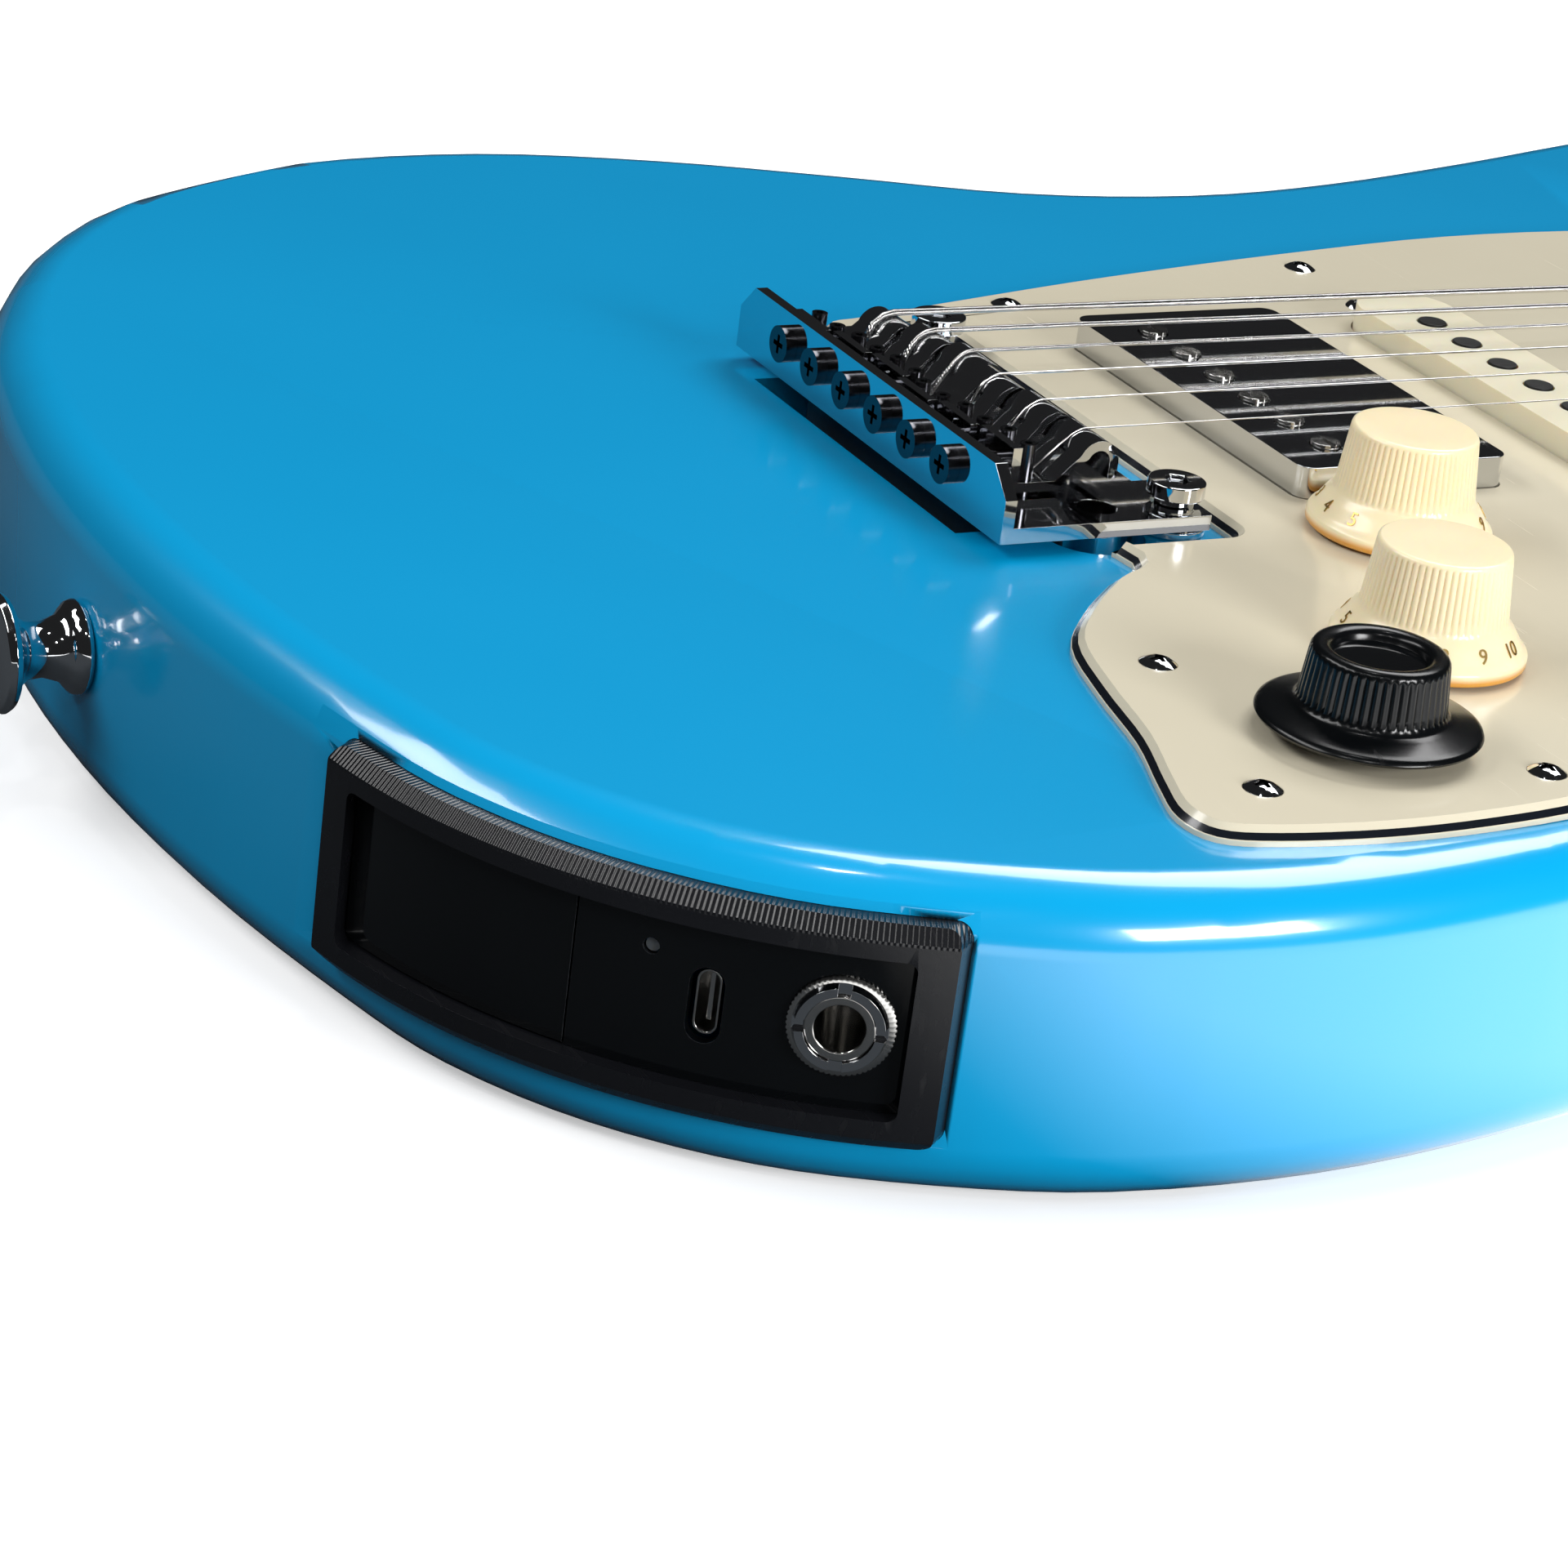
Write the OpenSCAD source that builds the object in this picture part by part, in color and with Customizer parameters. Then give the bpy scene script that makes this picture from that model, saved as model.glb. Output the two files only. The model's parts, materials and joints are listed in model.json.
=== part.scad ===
// Solid-body electric guitar with a tilting two-post bridge, bolt-on neck and a side pod
// that holds the output jack, the charging port and a slide-out battery.
// Frame: +Y runs from the bridge to the headstock, +X to the treble side, +Z out of the front.
// Origin: on the centre line, at the saddle line, on the back face.

/* [Body] */
// Thickness of the body
body_t = 45; // [38:0.5:54]
// Radius of the rounded body edge
edge_r = 9; // [7:0.5:9.5]
// Depth of the neck pocket
pocket_depth = 16; // [14:0.5:18]
// Thickness of the pickguard
guard_t = 2.4; // [1.6:0.1:3]
// Thickness of the cover plate in the back
cover_t = 2.4; // [1.6:0.1:3]

/* [Neck] */
// Scale length, from the saddle line to the nut
scale_len = 648; // [560:1:780]
// Width of the neck at the nut
nut_w = 42; // [40:0.5:46]
// Width of the neck at its heel
heel_w = 56; // [54:0.5:58]
// Thickness of the neck with its fingerboard
neck_t = 21; // [19:0.5:24]
// Thickness of the fingerboard
board_t = 6; // [4:0.5:7]
// Height of the fingerboard's face above the body
board_rise = 9.4; // [8:0.1:11]
// Radius of the fingerboard's crown
board_crown = 305; // [240:5:400]
// Thickness of the headstock
head_t = 14; // [12:0.5:15]
// Drop from the fingerboard's face to the headstock's face
head_drop = 13; // [12:0.5:14]

/* [Strings and bridge] */
// Distance between strings at the bridge
string_pitch = 10.5; // [10.2:0.1:10.8]
// Distance between strings at the nut
nut_pitch = 7.2; // [6.8:0.1:7.4]
// Height of the strings at the saddles, above the body
string_rise = 13.6; // [12:0.1:15]
// Distance between the two bridge posts
post_pitch = 74; // [72:0.5:76]
// Width of the bridge plate
plate_w = 86; // [84:0.5:90]
// Thickness of the bridge plate
plate_t = 2.4; // [2:0.1:3]
// Gap under the bridge plate
plate_float = 2; // [1.6:0.1:3]
// Depth of the tremolo block below the plate
block_h = 38; // [30:0.5:38]
// Radius of the threaded arm socket
arm_r = 3; // [2.5:0.1:3]

/* [Controls] */
// Diameter of the pale knobs' skirts
knob_skirt_d = 28; // [26:0.5:30]
// Height of the pale knobs
knob_h = 16; // [14:0.5:19]
// Diameter of the pale knobs' grips at the top
knob_top_d = 19; // [17:0.5:21]
// Diameter of the dark knob's skirt
dial_skirt_d = 31; // [28:0.5:34]
// Height of the dark knob
dial_h = 13; // [11:0.5:16]
// Diameter of the control shafts
shaft_d = 6; // [6:0.05:6.35]

/* [Side pod] */
// Outside height of the pod's frame
pod_h = 30.8; // [28:0.2:31]
// How far the frame stands proud of the body's side
pod_proud = 3; // [2:0.1:3.5]
// Width of the frame's rim
pod_rim = 4.4; // [4:0.1:5]
// Bore of the output jack
jack_bore = 6.4; // [6.35:0.05:6.6]
// Depth of the battery
battery_depth = 40; // [30:1:42]

/* [Hidden] */
$fn = 48;

// Clearances: fit is a running fit's radial gap, slip is an easy gap between fixed pieces.
fit = 0.05;
slip = 0.3;
eps = 0.01;

// Colours
sky_blue = [0.0, 0.6, 0.83];
cream = [0.93, 0.87, 0.7];
black = [0.05, 0.05, 0.06];
steel = [0.75, 0.76, 0.78];
maple = [0.88, 0.7, 0.42];
rosewood = [0.3, 0.17, 0.1];
ivory = [0.95, 0.9, 0.75];

// ---- Side pod: an arc of the body's outline ----
pod_c = [60, -49];
pod_r = 88;
pod_a0 = -81.5;
pod_a1 = -21;
pod_mid = (pod_a0 + pod_a1) / 2;
pod_z = body_t / 2 + 2.2;
pod_w = 2 * pod_r * sin((pod_a1 - pod_a0) / 2);
pod_seat = 2.4;
pod_corner = 2.6;
pod_sunk = 0.6;
seam_t = -3.2;
led_a = -46.6;
led_dz = 6;
usb_a = -41.6;
usb_dz = -0.3;
jack_a = -30.6;
jack_dz = 0.4;
bay_wall = 1.6;
battery_gap = 0.4;
bay_t0 = pod_rim + 2 - pod_w / 2;
bay_t1 = seam_t;
bay_h = pod_h - 2 * pod_rim - 4;

// ---- Outline of the body, closed, counter-clockwise from the tail ----
function on_pod(a, r) = [pod_c[0] + r * cos(a), pod_c[1] + r * sin(a)];
outline_knots = concat(
    [[0, -145], [38, -142.4]],
    [for (i = [0:4]) on_pod(pod_a0 + i * (pod_a1 - pod_a0) / 4, pod_r)],
    [[150, -57], [152.5, -27], [149.6, 4], [143.5, 33], [134, 63], [125, 90], [121, 115],
     [124, 145], [133, 180], [144, 213], [147, 240], [138, 262], [119, 266], [99, 248],
     [78, 226], [56, 216], [32, 214], [6, 226], [-14, 242], [-34, 252], [-60, 260],
     [-82, 276], [-102, 299], [-124, 315], [-143, 311], [-153, 290], [-155, 258],
     [-148, 218], [-136, 178], [-126, 140], [-122, 108], [-126, 76], [-138, 46],
     [-150, 14], [-157, -20], [-154, -56], [-139, -90], [-112, -117], [-76, -135],
     [-38, -143]]
);
function blend_point(p0, p1, p2, p3, t) =
    0.5 * (2 * p1 + (p2 - p0) * t + (2 * p0 - 5 * p1 + 4 * p2 - p3) * t * t
    + (3 * p1 - p0 - 3 * p2 + p3) * t * t * t);
function smooth_loop(k, steps) = let (n = len(k))
    [for (i = [0:n - 1], j = [0:steps - 1])
        blend_point(k[(i + n - 1) % n], k[i], k[(i + 1) % n], k[(i + 2) % n], j / steps)];
body_outline = smooth_loop(outline_knots, 4);
horn_tip = [-129.5, 315.8];
tail_y = -145;

// ---- Outline of the pickguard; the notches for neck and bridge are cut from it ----
guard_knots = [
    [50, -4], [57, -12], [66, -21.5], [77, -30], [92, -34.5], [108, -38], [121, -42.5],
    [130, -45], [136.5, -43], [139.5, -35], [141.5, -20], [141.5, -4], [139.5, 14],
    [133, 38], [125, 60], [116, 86], [112, 112], [114.5, 142], [123, 178], [133, 211],
    [136.5, 236], [130, 251.5], [120, 255], [107, 243], [88, 222], [68, 208], [48, 203],
    [28, 203], [0, 210], [-28, 224], [-48, 230], [-64, 226], [-76, 208], [-82, 176],
    [-82, 140], [-76, 100], [-68, 60], [-60, 28], [-54, 6], [-50, -4], [-30, -9], [0, -10],
    [30, -9]
];
guard_outline = smooth_loop(guard_knots, 4);
guard_screw_xy = [
    [87.5, -22.5], [127.6, -30.8], [131, 12], [117, 66], [105, 118], [123, 196],
    [124, 242], [-50, 216], [-72, 172], [-67, 100], [-55, 34]
];
cover_screw_xy = [for (x = [-37, 37], y = [-26, 44, 116]) [x, y]];

// ---- Heights ----
guard_z = body_t;
guard_top = body_t + guard_t;
board_z = body_t + board_rise;
neck_top = board_z - board_t;
pocket_z = body_t - pocket_depth;
head_z1 = board_z - head_drop;
head_z0 = head_z1 - head_t;
plate_z = body_t + plate_float;
plate_top = plate_z + plate_t;

// ---- Neck layout ----
fret_count = 22;
fret_w = 2.2;
fret_h = 1.0;
function fret_y(n) = scale_len * pow(2, -n / 12);
heel_y = fret_y(fret_count) - 4;
heel_len = 72;
nut_t = 3.5;
function neck_w(y) = nut_w + (heel_w - nut_w) * (scale_len - y) / (scale_len - heel_y);
function crown(x) = x * x / (2 * board_crown);

// ---- Strings, from the low one at -X to the high one at +X ----
string_d = [1.17, 0.91, 0.66, 0.43, 0.33, 0.25];
saddle_back = [-4.5, -3, -1.8, -3, -1.5, 0];
function string_x(i) = (i - 2.5) * string_pitch;
function nut_x(i) = (i - 2.5) * nut_pitch;
function string_z(i) = body_t + string_rise - crown(string_x(i));
function nut_z(i) = board_z + fret_h + 0.4 + string_d[i] / 2 - crown(nut_x(i));

// ---- Bridge layout ----
pivot_y = 10.4;
post_r = 3;
block_y0 = -15.5;
block_w = 60;
drop_y = -9;
plate_y0 = -22.5;
plate_y1 = 13.4;
flange_h = 11;
saddle_t = 1.5;
saddle_w = 10;
saddle_tab_y = -13.5;
saddle_lift = 0.6;
saddle_r = 3.4;
intonation_z = 3.8;
block_t = 13;
block_z0 = plate_z - block_h;
arm_xy = [37, -3];
arm_depth = 16;
cavity_w = 66;
cavity_y0 = -24;
cavity_y1 = 106;
cavity_depth = 18;
spring_z = 12;
claw_y = 92;
spring_x = [-21, 0, 21];
spring_d = 8;

// ---- Pickups ----
single_y = [0.25 * scale_len, 0.153 * scale_len];
humbucker_y = 0.0825 * scale_len;
single_l = 83;
single_w = 17.8;
hum_l = 70;
hum_w = 38;
hum_ear_y = 4;
pickup_rise = 6.4;
pole_pitch = 10.3;

// ---- Controls ----
volume_xy = [49.5, 42.5];
tone_xy = [91.5, 19.2];
dial_xy = [116, -7.2];
selector_xy = [90, 96];
selector_turn = 16;
selector_pivot_z = guard_z - 9;
pot_d = 17;
pot_h = 9;
bushing_d = 9.4;
knob_gap = 0.6;

// ---- Headstock and tuners ----
tuner_pitch = 25.4;
tuner_lean = atan2(36, 127);
tuner_start = [-20.4, 30];
function tuner_xy(i) = [
    tuner_start[0] + i * tuner_pitch * sin(tuner_lean),
    scale_len + tuner_start[1] + i * tuner_pitch * cos(tuner_lean)
];
post_d = 6;
wrap_z = head_z1 + 7.5;
housing_h = 9.4;
gear_d = 8;
worm_d = 4.2;
key_offset = 6.4;
key_shaft_d = 3.4;
head_knots = [
    [20, 1], [22, 12], [27, 30], [33, 52], [36, 80], [39, 110], [45, 140], [50, 164],
    [47, 182], [34, 190], [19, 186], [8, 171], [-2, 136], [-13, 97], [-24, 58], [-31, 34],
    [-33.5, 19], [-29, 8], [-21, 1]
];

// =================== Shared shapes ===================

// Rectangle with round corners, centred
module round_rect(w, h, r) {
    square([w - 2 * r, h], center = true);
    square([w, h - 2 * r], center = true);
    for (x = [-1, 1], y = [-1, 1])
        translate([x * (w / 2 - r), y * (h / 2 - r)]) circle(r);
}

// Moves children so that +Z points away from the pod's arc at angle a, at radius r and height z
module at_pod(a, r, z) {
    translate([pod_c[0] + r * cos(a), pod_c[1] + r * sin(a), z])
        rotate([90, 0, a + 90]) children();
}

// Box reaching outward from depth w0, between two places across the pod, h to each side of its middle
module pod_box(t0, t1, h, w0) {
    at_pod(pod_mid, w0, pod_z) translate([t0, -h, 0]) cube([t1 - t0, 2 * h, 100 - w0]);
}

// Ring about the pod's centre between two radii and two heights
module pod_ring(r0, r1, z0, z1) {
    translate([pod_c[0], pod_c[1], z0]) difference() {
        cylinder(r = r1, h = z1 - z0, $fn = 96);
        translate([0, 0, -1]) cylinder(r = r0, h = z1 - z0 + 2, $fn = 96);
    }
}

// Closed solid through equal rings of points, each ring convex
module loft(rings) {
    n = len(rings[0]);
    m = len(rings);
    polyhedron(
        points = [for (ring = rings, p = ring) p],
        faces = concat(
            [[for (i = [n - 1:-1:0]) i]],
            [for (j = [0:m - 2], i = [0:n - 1])
                [j * n + i, j * n + (i + 1) % n, (j + 1) * n + (i + 1) % n, (j + 1) * n + i]],
            [[for (i = [0:n - 1]) (m - 1) * n + i]]
        )
    );
}

// Countersunk head with a shank below it; the head's rim lies at z = 0
module sunk_screw(head_d, head_h, shank_d, length) {
    translate([0, 0, -head_h]) cylinder(d1 = shank_d, d2 = head_d, h = head_h);
    translate([0, 0, -length]) cylinder(d = shank_d, h = length - head_h + eps);
}

// Cross recess for a screw head
module cross_slot(size, depth) {
    translate([0, 0, -depth / 2 + 0.2]) {
        cube([size, size / 4, depth + 0.4], center = true);
        cube([size / 4, size, depth + 0.4], center = true);
    }
}

// Moves children to the place of tuner i, with +Y along the row and +X away from the keys
module at_tuner(i) {
    p = tuner_xy(i);
    translate([p[0], p[1], 0]) rotate(-tuner_lean) children();
}

// Moves children to both ends of a single coil or the humbucker, in turn
module at_pickups() {
    for (y = single_y) translate([0, y, 0]) children();
}

// =================== Body ===================

module edge_tool() {
    rotate_extrude($fn = 20)
        polygon([for (a = [-90:18:90]) [edge_r * cos(a), edge_r * sin(a)]]);
}

module body_blank() {
    minkowski() {
        translate([0, 0, edge_r])
            linear_extrude(body_t - 2 * edge_r) offset(delta = -edge_r) polygon(body_outline);
        edge_tool();
    }
}

module neck_pocket() {
    gap = fit;
    y1 = 300;
    translate([0, 0, pocket_z]) linear_extrude(pocket_depth + 1) polygon([
        [-neck_w(heel_y) / 2 - gap, heel_y - gap], [neck_w(heel_y) / 2 + gap, heel_y - gap],
        [neck_w(y1) / 2 + gap, y1], [-neck_w(y1) / 2 - gap, y1]
    ]);
}

module control_cavity() {
    depth = 32;
    translate([0, 0, body_t - depth]) linear_extrude(depth + 1) polygon([
        [30, 28], [52, 22], [84, -2], [108, -26], [128, -22], [134, -4], [124, 34],
        [104, 84], [99, 128], [76, 128], [72, 84], [66, 60], [44, 62], [30, 62]
    ]);
}

module pickup_cavity() {
    y0 = humbucker_y - 24;
    y1 = single_y[0] + 13;
    translate([-50.5, y0, body_t - 20]) cube([101, y1 - y0, 21]);
}

module tremolo_cavity() {
    translate([-cavity_w / 2, cavity_y0, -1]) cube([cavity_w, cavity_y1 - cavity_y0, cavity_depth + 1]);
    translate([-block_w / 2 - 3, cavity_y0, -1]) cube([block_w + 6, 30, body_t + 2]);
    translate([arm_xy[0], arm_xy[1], body_t - arm_depth - 4]) cylinder(r = 8, h = arm_depth + 5);
    translate([0, 45, -1]) linear_extrude(cover_t + 1) round_rect(86 + slip, 158 + slip, 6);
}

// Room in the wood behind the pod
module pod_cavity() {
    intersection() {
        pod_ring(pod_r - pod_seat, pod_r + 30, -1, body_t + 1);
        at_pod(pod_mid, 0, pod_z) linear_extrude(200)
            round_rect(pod_w + 2 * fit, pod_h + 2 * fit, pod_corner);
    }
    pod_box(bay_t0 - bay_wall - 0.5, bay_t1 + bay_wall + 0.5, bay_h / 2 + bay_wall + 0.5,
        pod_r - battery_depth - 5);
    pod_box(2.5, 38, 11, 55);
}

module body() {
    color(sky_blue) difference() {
        body_blank();
        neck_pocket();
        control_cavity();
        pickup_cavity();
        tremolo_cavity();
        pod_cavity();
        comfort_cuts();
        neck_plate_room();
        for (s = [-1, 1]) translate([s * post_pitch / 2, pivot_y, body_t - 24])
            cylinder(r = post_r + slip, h = 30);
        for (p = guard_screw_xy) translate([p[0], p[1], body_t - 11]) cylinder(d = 2.6, h = 12);
        for (p = cover_screw_xy) translate([p[0], p[1], -1]) cylinder(d = 2.6, h = cover_t + 12);
        for (x = [-16, 16]) translate([x, cavity_y1 - 1, cavity_depth / 2 + 1])
            rotate([-90, 0, 0]) cylinder(d = 3.8, h = 30);
        translate([0, tail_y - 1, body_t / 2]) rotate([-90, 0, 0]) cylinder(d = 3.4, h = 28);
        translate([horn_tip[0], horn_tip[1] + 1, body_t / 2]) rotate([90, 0, 0]) cylinder(d = 3.4, h = 28);
    }
}

// Forearm bevel on the front and the scoop on the back, both on the bass side
module comfort_cuts() {
    translate([-152, -38, body_t - 13]) rotate([0, -17, 26]) translate([-90, -130, 0])
        cube([90, 260, 60]);
    translate([-210, 100, -100]) sphere(r = 140, $fn = 96);
}

// =================== Pickguard ===================

module guard_holes() {
    for (p = guard_screw_xy) translate([p[0], p[1], guard_top]) {
        translate([0, 0, -1.7]) cylinder(d1 = 3.2, d2 = 5.6, h = 1.71);
        translate([0, 0, -10]) cylinder(d = 3.2, h = 20);
    }
    for (p = [volume_xy, tone_xy, dial_xy]) translate([p[0], p[1], guard_z - 1])
        cylinder(d = bushing_d + 0.4, h = guard_t + 2);
}

module guard_screw_rows() {
    for (y = single_y, s = [-1, 1]) translate([s * 46.5, y, guard_z - 1]) cylinder(d = 3.4, h = guard_t + 2);
    for (s = [-1, 1]) {
        translate([s * 39.6, humbucker_y + hum_ear_y, guard_z - 1]) cylinder(d = 3.4, h = guard_t + 2);
        selector_place() translate([0, s * 20.5, guard_z - 1]) cylinder(d = 3.4, h = guard_t + 2);
    }
}

module pickguard() {
    color(cream) difference() {
        translate([0, 0, guard_z]) linear_extrude(guard_t) polygon(guard_outline);
        translate([0, -10, guard_z - 1]) linear_extrude(guard_t + 2)
            round_rect(plate_w + 4.8, 2 * (plate_y1 + 14), 3);
        neck_opening();
        at_pickups() translate([0, 0, guard_z - 1]) linear_extrude(guard_t + 2)
            round_rect(single_l + 2 * slip, single_w + 2 * slip, single_w / 2 + slip - eps);
        translate([0, humbucker_y, guard_z - 1]) linear_extrude(guard_t + 2)
            round_rect(hum_l + 2 * slip, hum_w + 2 * slip, 3);
        guard_holes();
        guard_screw_rows();
        selector_place() translate([0, 0, guard_z - 1]) linear_extrude(guard_t + 2)
            square([2.6, 25], center = true);
    }
}

module neck_opening() {
    y1 = 300;
    linear_extrude(120) polygon([
        [-neck_w(heel_y) / 2 - slip, heel_y - slip], [neck_w(heel_y) / 2 + slip, heel_y - slip],
        [neck_w(y1) / 2 + slip, y1], [-neck_w(y1) / 2 - slip, y1]
    ]);
}

module wood_screw() {
    difference() {
        union() {
            sunk_screw(5.4, 1.3, 2.5, 11.5);
            intersection() {
                translate([0, 0, -3.2]) sphere(r = 4.2);
                translate([0, 0, -eps]) cylinder(d = 5.4, h = 2);
            }
        }
        translate([0, 0, 0.8]) cross_slot(2.8, 1.4);
    }
}

module plate_screws() {
    color(steel) {
        for (p = guard_screw_xy) translate([p[0], p[1], guard_top]) wood_screw();
        for (p = cover_screw_xy) translate([p[0], p[1], 1.1]) rotate([180, 0, 0]) wood_screw();
    }
}

module back_cover() {
    color(black) difference() {
        translate([0, 45, 0]) linear_extrude(cover_t) round_rect(86, 158, 6);
        translate([0, drop_y, -1]) linear_extrude(cover_t + 2) round_rect(64, 9, 4.4);
        for (p = cover_screw_xy) translate([p[0], p[1], -1]) {
            cylinder(d = 3, h = cover_t + 2);
            cylinder(d = 5.8, h = 2.1);
            translate([0, 0, 2.09]) cylinder(d1 = 5.8, d2 = 2.9, h = 1.35);
        }
    }
}

// =================== Neck ===================

module head_shape() {
    polygon([for (p = smooth_loop(head_knots, 4)) [p[0], p[1] + scale_len]]);
}

function neck_ring(y, w, top, depth) =
    [for (i = [16:-1:0]) let (a = i * 180 / 16)
        [w / 2 * cos(a), y, top - depth * pow(sin(a), 0.75)]];

// The shaft stands 1 mm over the fingerboard's seat, and neck() trims it flat
module neck_shaft() {
    d_heel = neck_t + 2.8 - board_t;
    d_nut = neck_t + 1 - board_t;
    y0 = heel_y + heel_len - 14;
    y1 = heel_y + heel_len + 8;
    y2 = scale_len + 5;
    loft(concat(
        [neck_ring(y0, neck_w(y0) - 1.6, neck_top + 1, d_heel - 1)],
        [for (t = [0:0.125:1]) neck_ring(y1 + t * (y2 - y1), neck_w(y1 + t * (y2 - y1)), neck_top + 1,
            d_heel + t * (d_nut - d_heel))],
        [neck_ring(scale_len + 12, nut_w - 3, head_z1 + 4, head_t + 3)],
        [neck_ring(scale_len + 21, nut_w - 6, head_z1 - 0.6, head_t - 2)]
    ));
}

module neck_bolt_holes(d, z0, h) {
    for (x = [-19, 19], y = [12, 58]) translate([x, heel_y + y, z0]) cylinder(d = d, h = h);
}

module neck() {
    color(maple) difference() {
        union() {
            neck_shaft();
            translate([0, 0, pocket_z]) linear_extrude(neck_top - pocket_z) polygon([
                [-neck_w(heel_y) / 2, heel_y], [neck_w(heel_y) / 2, heel_y],
                [neck_w(heel_y + heel_len) / 2, heel_y + heel_len],
                [-neck_w(heel_y + heel_len) / 2, heel_y + heel_len]
            ]);
            translate([0, 0, head_z0]) linear_extrude(head_t) head_shape();
        }
        neck_bolt_holes(3.6, pocket_z - 1, neck_top - pocket_z - 2);
        translate([-3.2, heel_y + 10, neck_top - 8]) cube([6.4, scale_len - heel_y - 20, 9]);
        for (i = [0:5]) at_tuner(i) translate([0, 0, head_z0 - 1]) cylinder(d = 9.6, h = head_t + 2);
        translate([-50, 100, neck_top]) cube([100, scale_len, 20]);
    }
}

module truss_rod() {
    color(steel) translate([0, heel_y + 12, neck_top - 4.6]) rotate([-90, 0, 0])
        cylinder(d = 6, h = scale_len - heel_y - 24);
}

module board_prism(z0, z1) {
    translate([0, 0, z0]) linear_extrude(z1 - z0) polygon([
        [-heel_w / 2, heel_y], [heel_w / 2, heel_y], [nut_w / 2, scale_len], [-nut_w / 2, scale_len]
    ]);
}

module crown_cylinder(r) {
    translate([0, scale_len + 60, board_z - board_crown]) rotate([90, 0, 0])
        cylinder(r = r, h = scale_len + 60, $fn = 240);
}

module fingerboard() {
    color(rosewood) difference() {
        intersection() {
            board_prism(neck_top, board_z + 1);
            crown_cylinder(board_crown);
        }
        for (p = dot_xy()) translate([p[0], p[1], board_z - 2]) cylinder(d = 6, h = 4);
    }
}

// Position dots: single ones on the line, and a pair at the octave
function mid_fret(n) = (fret_y(n) + fret_y(n - 1)) / 2;
function dot_xy() = concat(
    [for (n = [3, 5, 7, 9, 15, 17, 19, 21]) [0, mid_fret(n)]],
    [for (x = [-13, 13]) [x, mid_fret(12)]]
);

module fret_dots() {
    color(ivory) intersection() {
        for (p = dot_xy()) translate([p[0], p[1], board_z - 2]) cylinder(d = 6, h = 4);
        crown_cylinder(board_crown);
    }
}

module frets() {
    color(steel) for (n = [1:fret_count]) {
        w = neck_w(fret_y(n)) - 1;
        intersection() {
            difference() {
                crown_cylinder(board_crown + fret_h);
                crown_cylinder(board_crown);
            }
            translate([-w / 2, fret_y(n) - fret_w / 2, board_z - 5]) cube([w, fret_w, 10]);
        }
    }
}

module nut() {
    color(ivory) difference() {
        translate([-nut_w / 2, scale_len, neck_top]) cube([nut_w, nut_t, board_t + 1.9]);
        for (i = [0:5]) translate([nut_x(i), scale_len - 1, nut_z(i)]) {
            rotate([-90, 0, 0]) cylinder(d = string_d[i] + 0.3, h = nut_t + 2);
            translate([-string_d[i] / 2 - 0.15, 0, 0]) cube([string_d[i] + 0.3, nut_t + 2, 6]);
        }
    }
}

module neck_plate_room() {
    translate([-26 - slip / 2, heel_y + 2 - slip / 2, -1]) cube([52 + slip, 66 + slip, 3.0]);
    neck_bolt_holes(5.4, -1, body_t);
}

module neck_plate() {
    color(steel) difference() {
        translate([-26, heel_y + 2, 0.05]) cube([52, 66, 1.95]);
        neck_bolt_holes(5.4, -1, 5);
        for (x = [-19, 19], y = [12, 58]) translate([x, heel_y + y, -0.01])
            cylinder(d1 = 9.8, d2 = 5.6, h = 2.1);
    }
}

module long_screw(length) {
    difference() {
        union() {
            translate([0, 0, -2.6]) cylinder(d1 = 3.4, d2 = 8.2, h = 2.6);
            translate([0, 0, -length]) cylinder(d = 3.4, h = length - 2.5);
        }
        cross_slot(3.6, 1.6);
    }
}

module long_wood_screws() {
    color(steel) {
        for (x = [-19, 19], y = [12, 58]) translate([x, heel_y + y, 0.3])
            rotate([180, 0, 0]) long_screw(neck_top - 6);
        for (x = [-16, 16]) translate([x, claw_y - 0.4, cavity_depth / 2 + 1])
            rotate([90, 0, 0]) long_screw(cavity_y1 - claw_y + 20);
    }
}

// =================== Pickups ===================

module single_coil_covers() {
    top = guard_top + pickup_rise - 2;
    color(ivory) at_pickups() difference() {
        translate([0, 0, top - 12]) linear_extrude(12) round_rect(single_l, single_w, single_w / 2 - eps);
        translate([0, 0, top - 13]) linear_extrude(11.6)
            round_rect(single_l - 2.8, single_w - 2.8, single_w / 2 - 1.4 - eps);
        for (i = [0:5]) translate([(i - 2.5) * pole_pitch, 0, top - 3]) cylinder(d = 5.2, h = 5);
    }
}

module single_coils() {
    top = guard_top + pickup_rise - 2;
    z0 = body_t - 17;
    color(black) at_pickups() difference() {
        union() {
            translate([0, 0, top - 12.2]) linear_extrude(10) round_rect(70, 13, 6.4);
            translate([0, 0, z0]) linear_extrude(top - 12.1 - z0) round_rect(98, 16, 4);
            for (i = [0:5]) translate([(i - 2.5) * pole_pitch, 0, top - 4]) cylinder(d = 4.8, h = 4.3);
        }
        for (s = [-1, 1]) translate([s * 46.5, 0, z0 - 1]) cylinder(d = 2.6, h = 20);
    }
}

module bridge_pickup_cover() {
    top = guard_top + pickup_rise - 1.4;
    color(steel) translate([0, humbucker_y, 0]) difference() {
        translate([0, 0, top - 17]) linear_extrude(17) round_rect(hum_l, hum_w, 2.6);
        translate([0, 0, top - 18]) linear_extrude(17.2) round_rect(hum_l - 1.6, hum_w - 1.6, 1.8);
        for (i = [0:5]) translate([(i - 2.5) * pole_pitch, -9.4, top - 3]) cylinder(d = 5, h = 5);
    }
}

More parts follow.
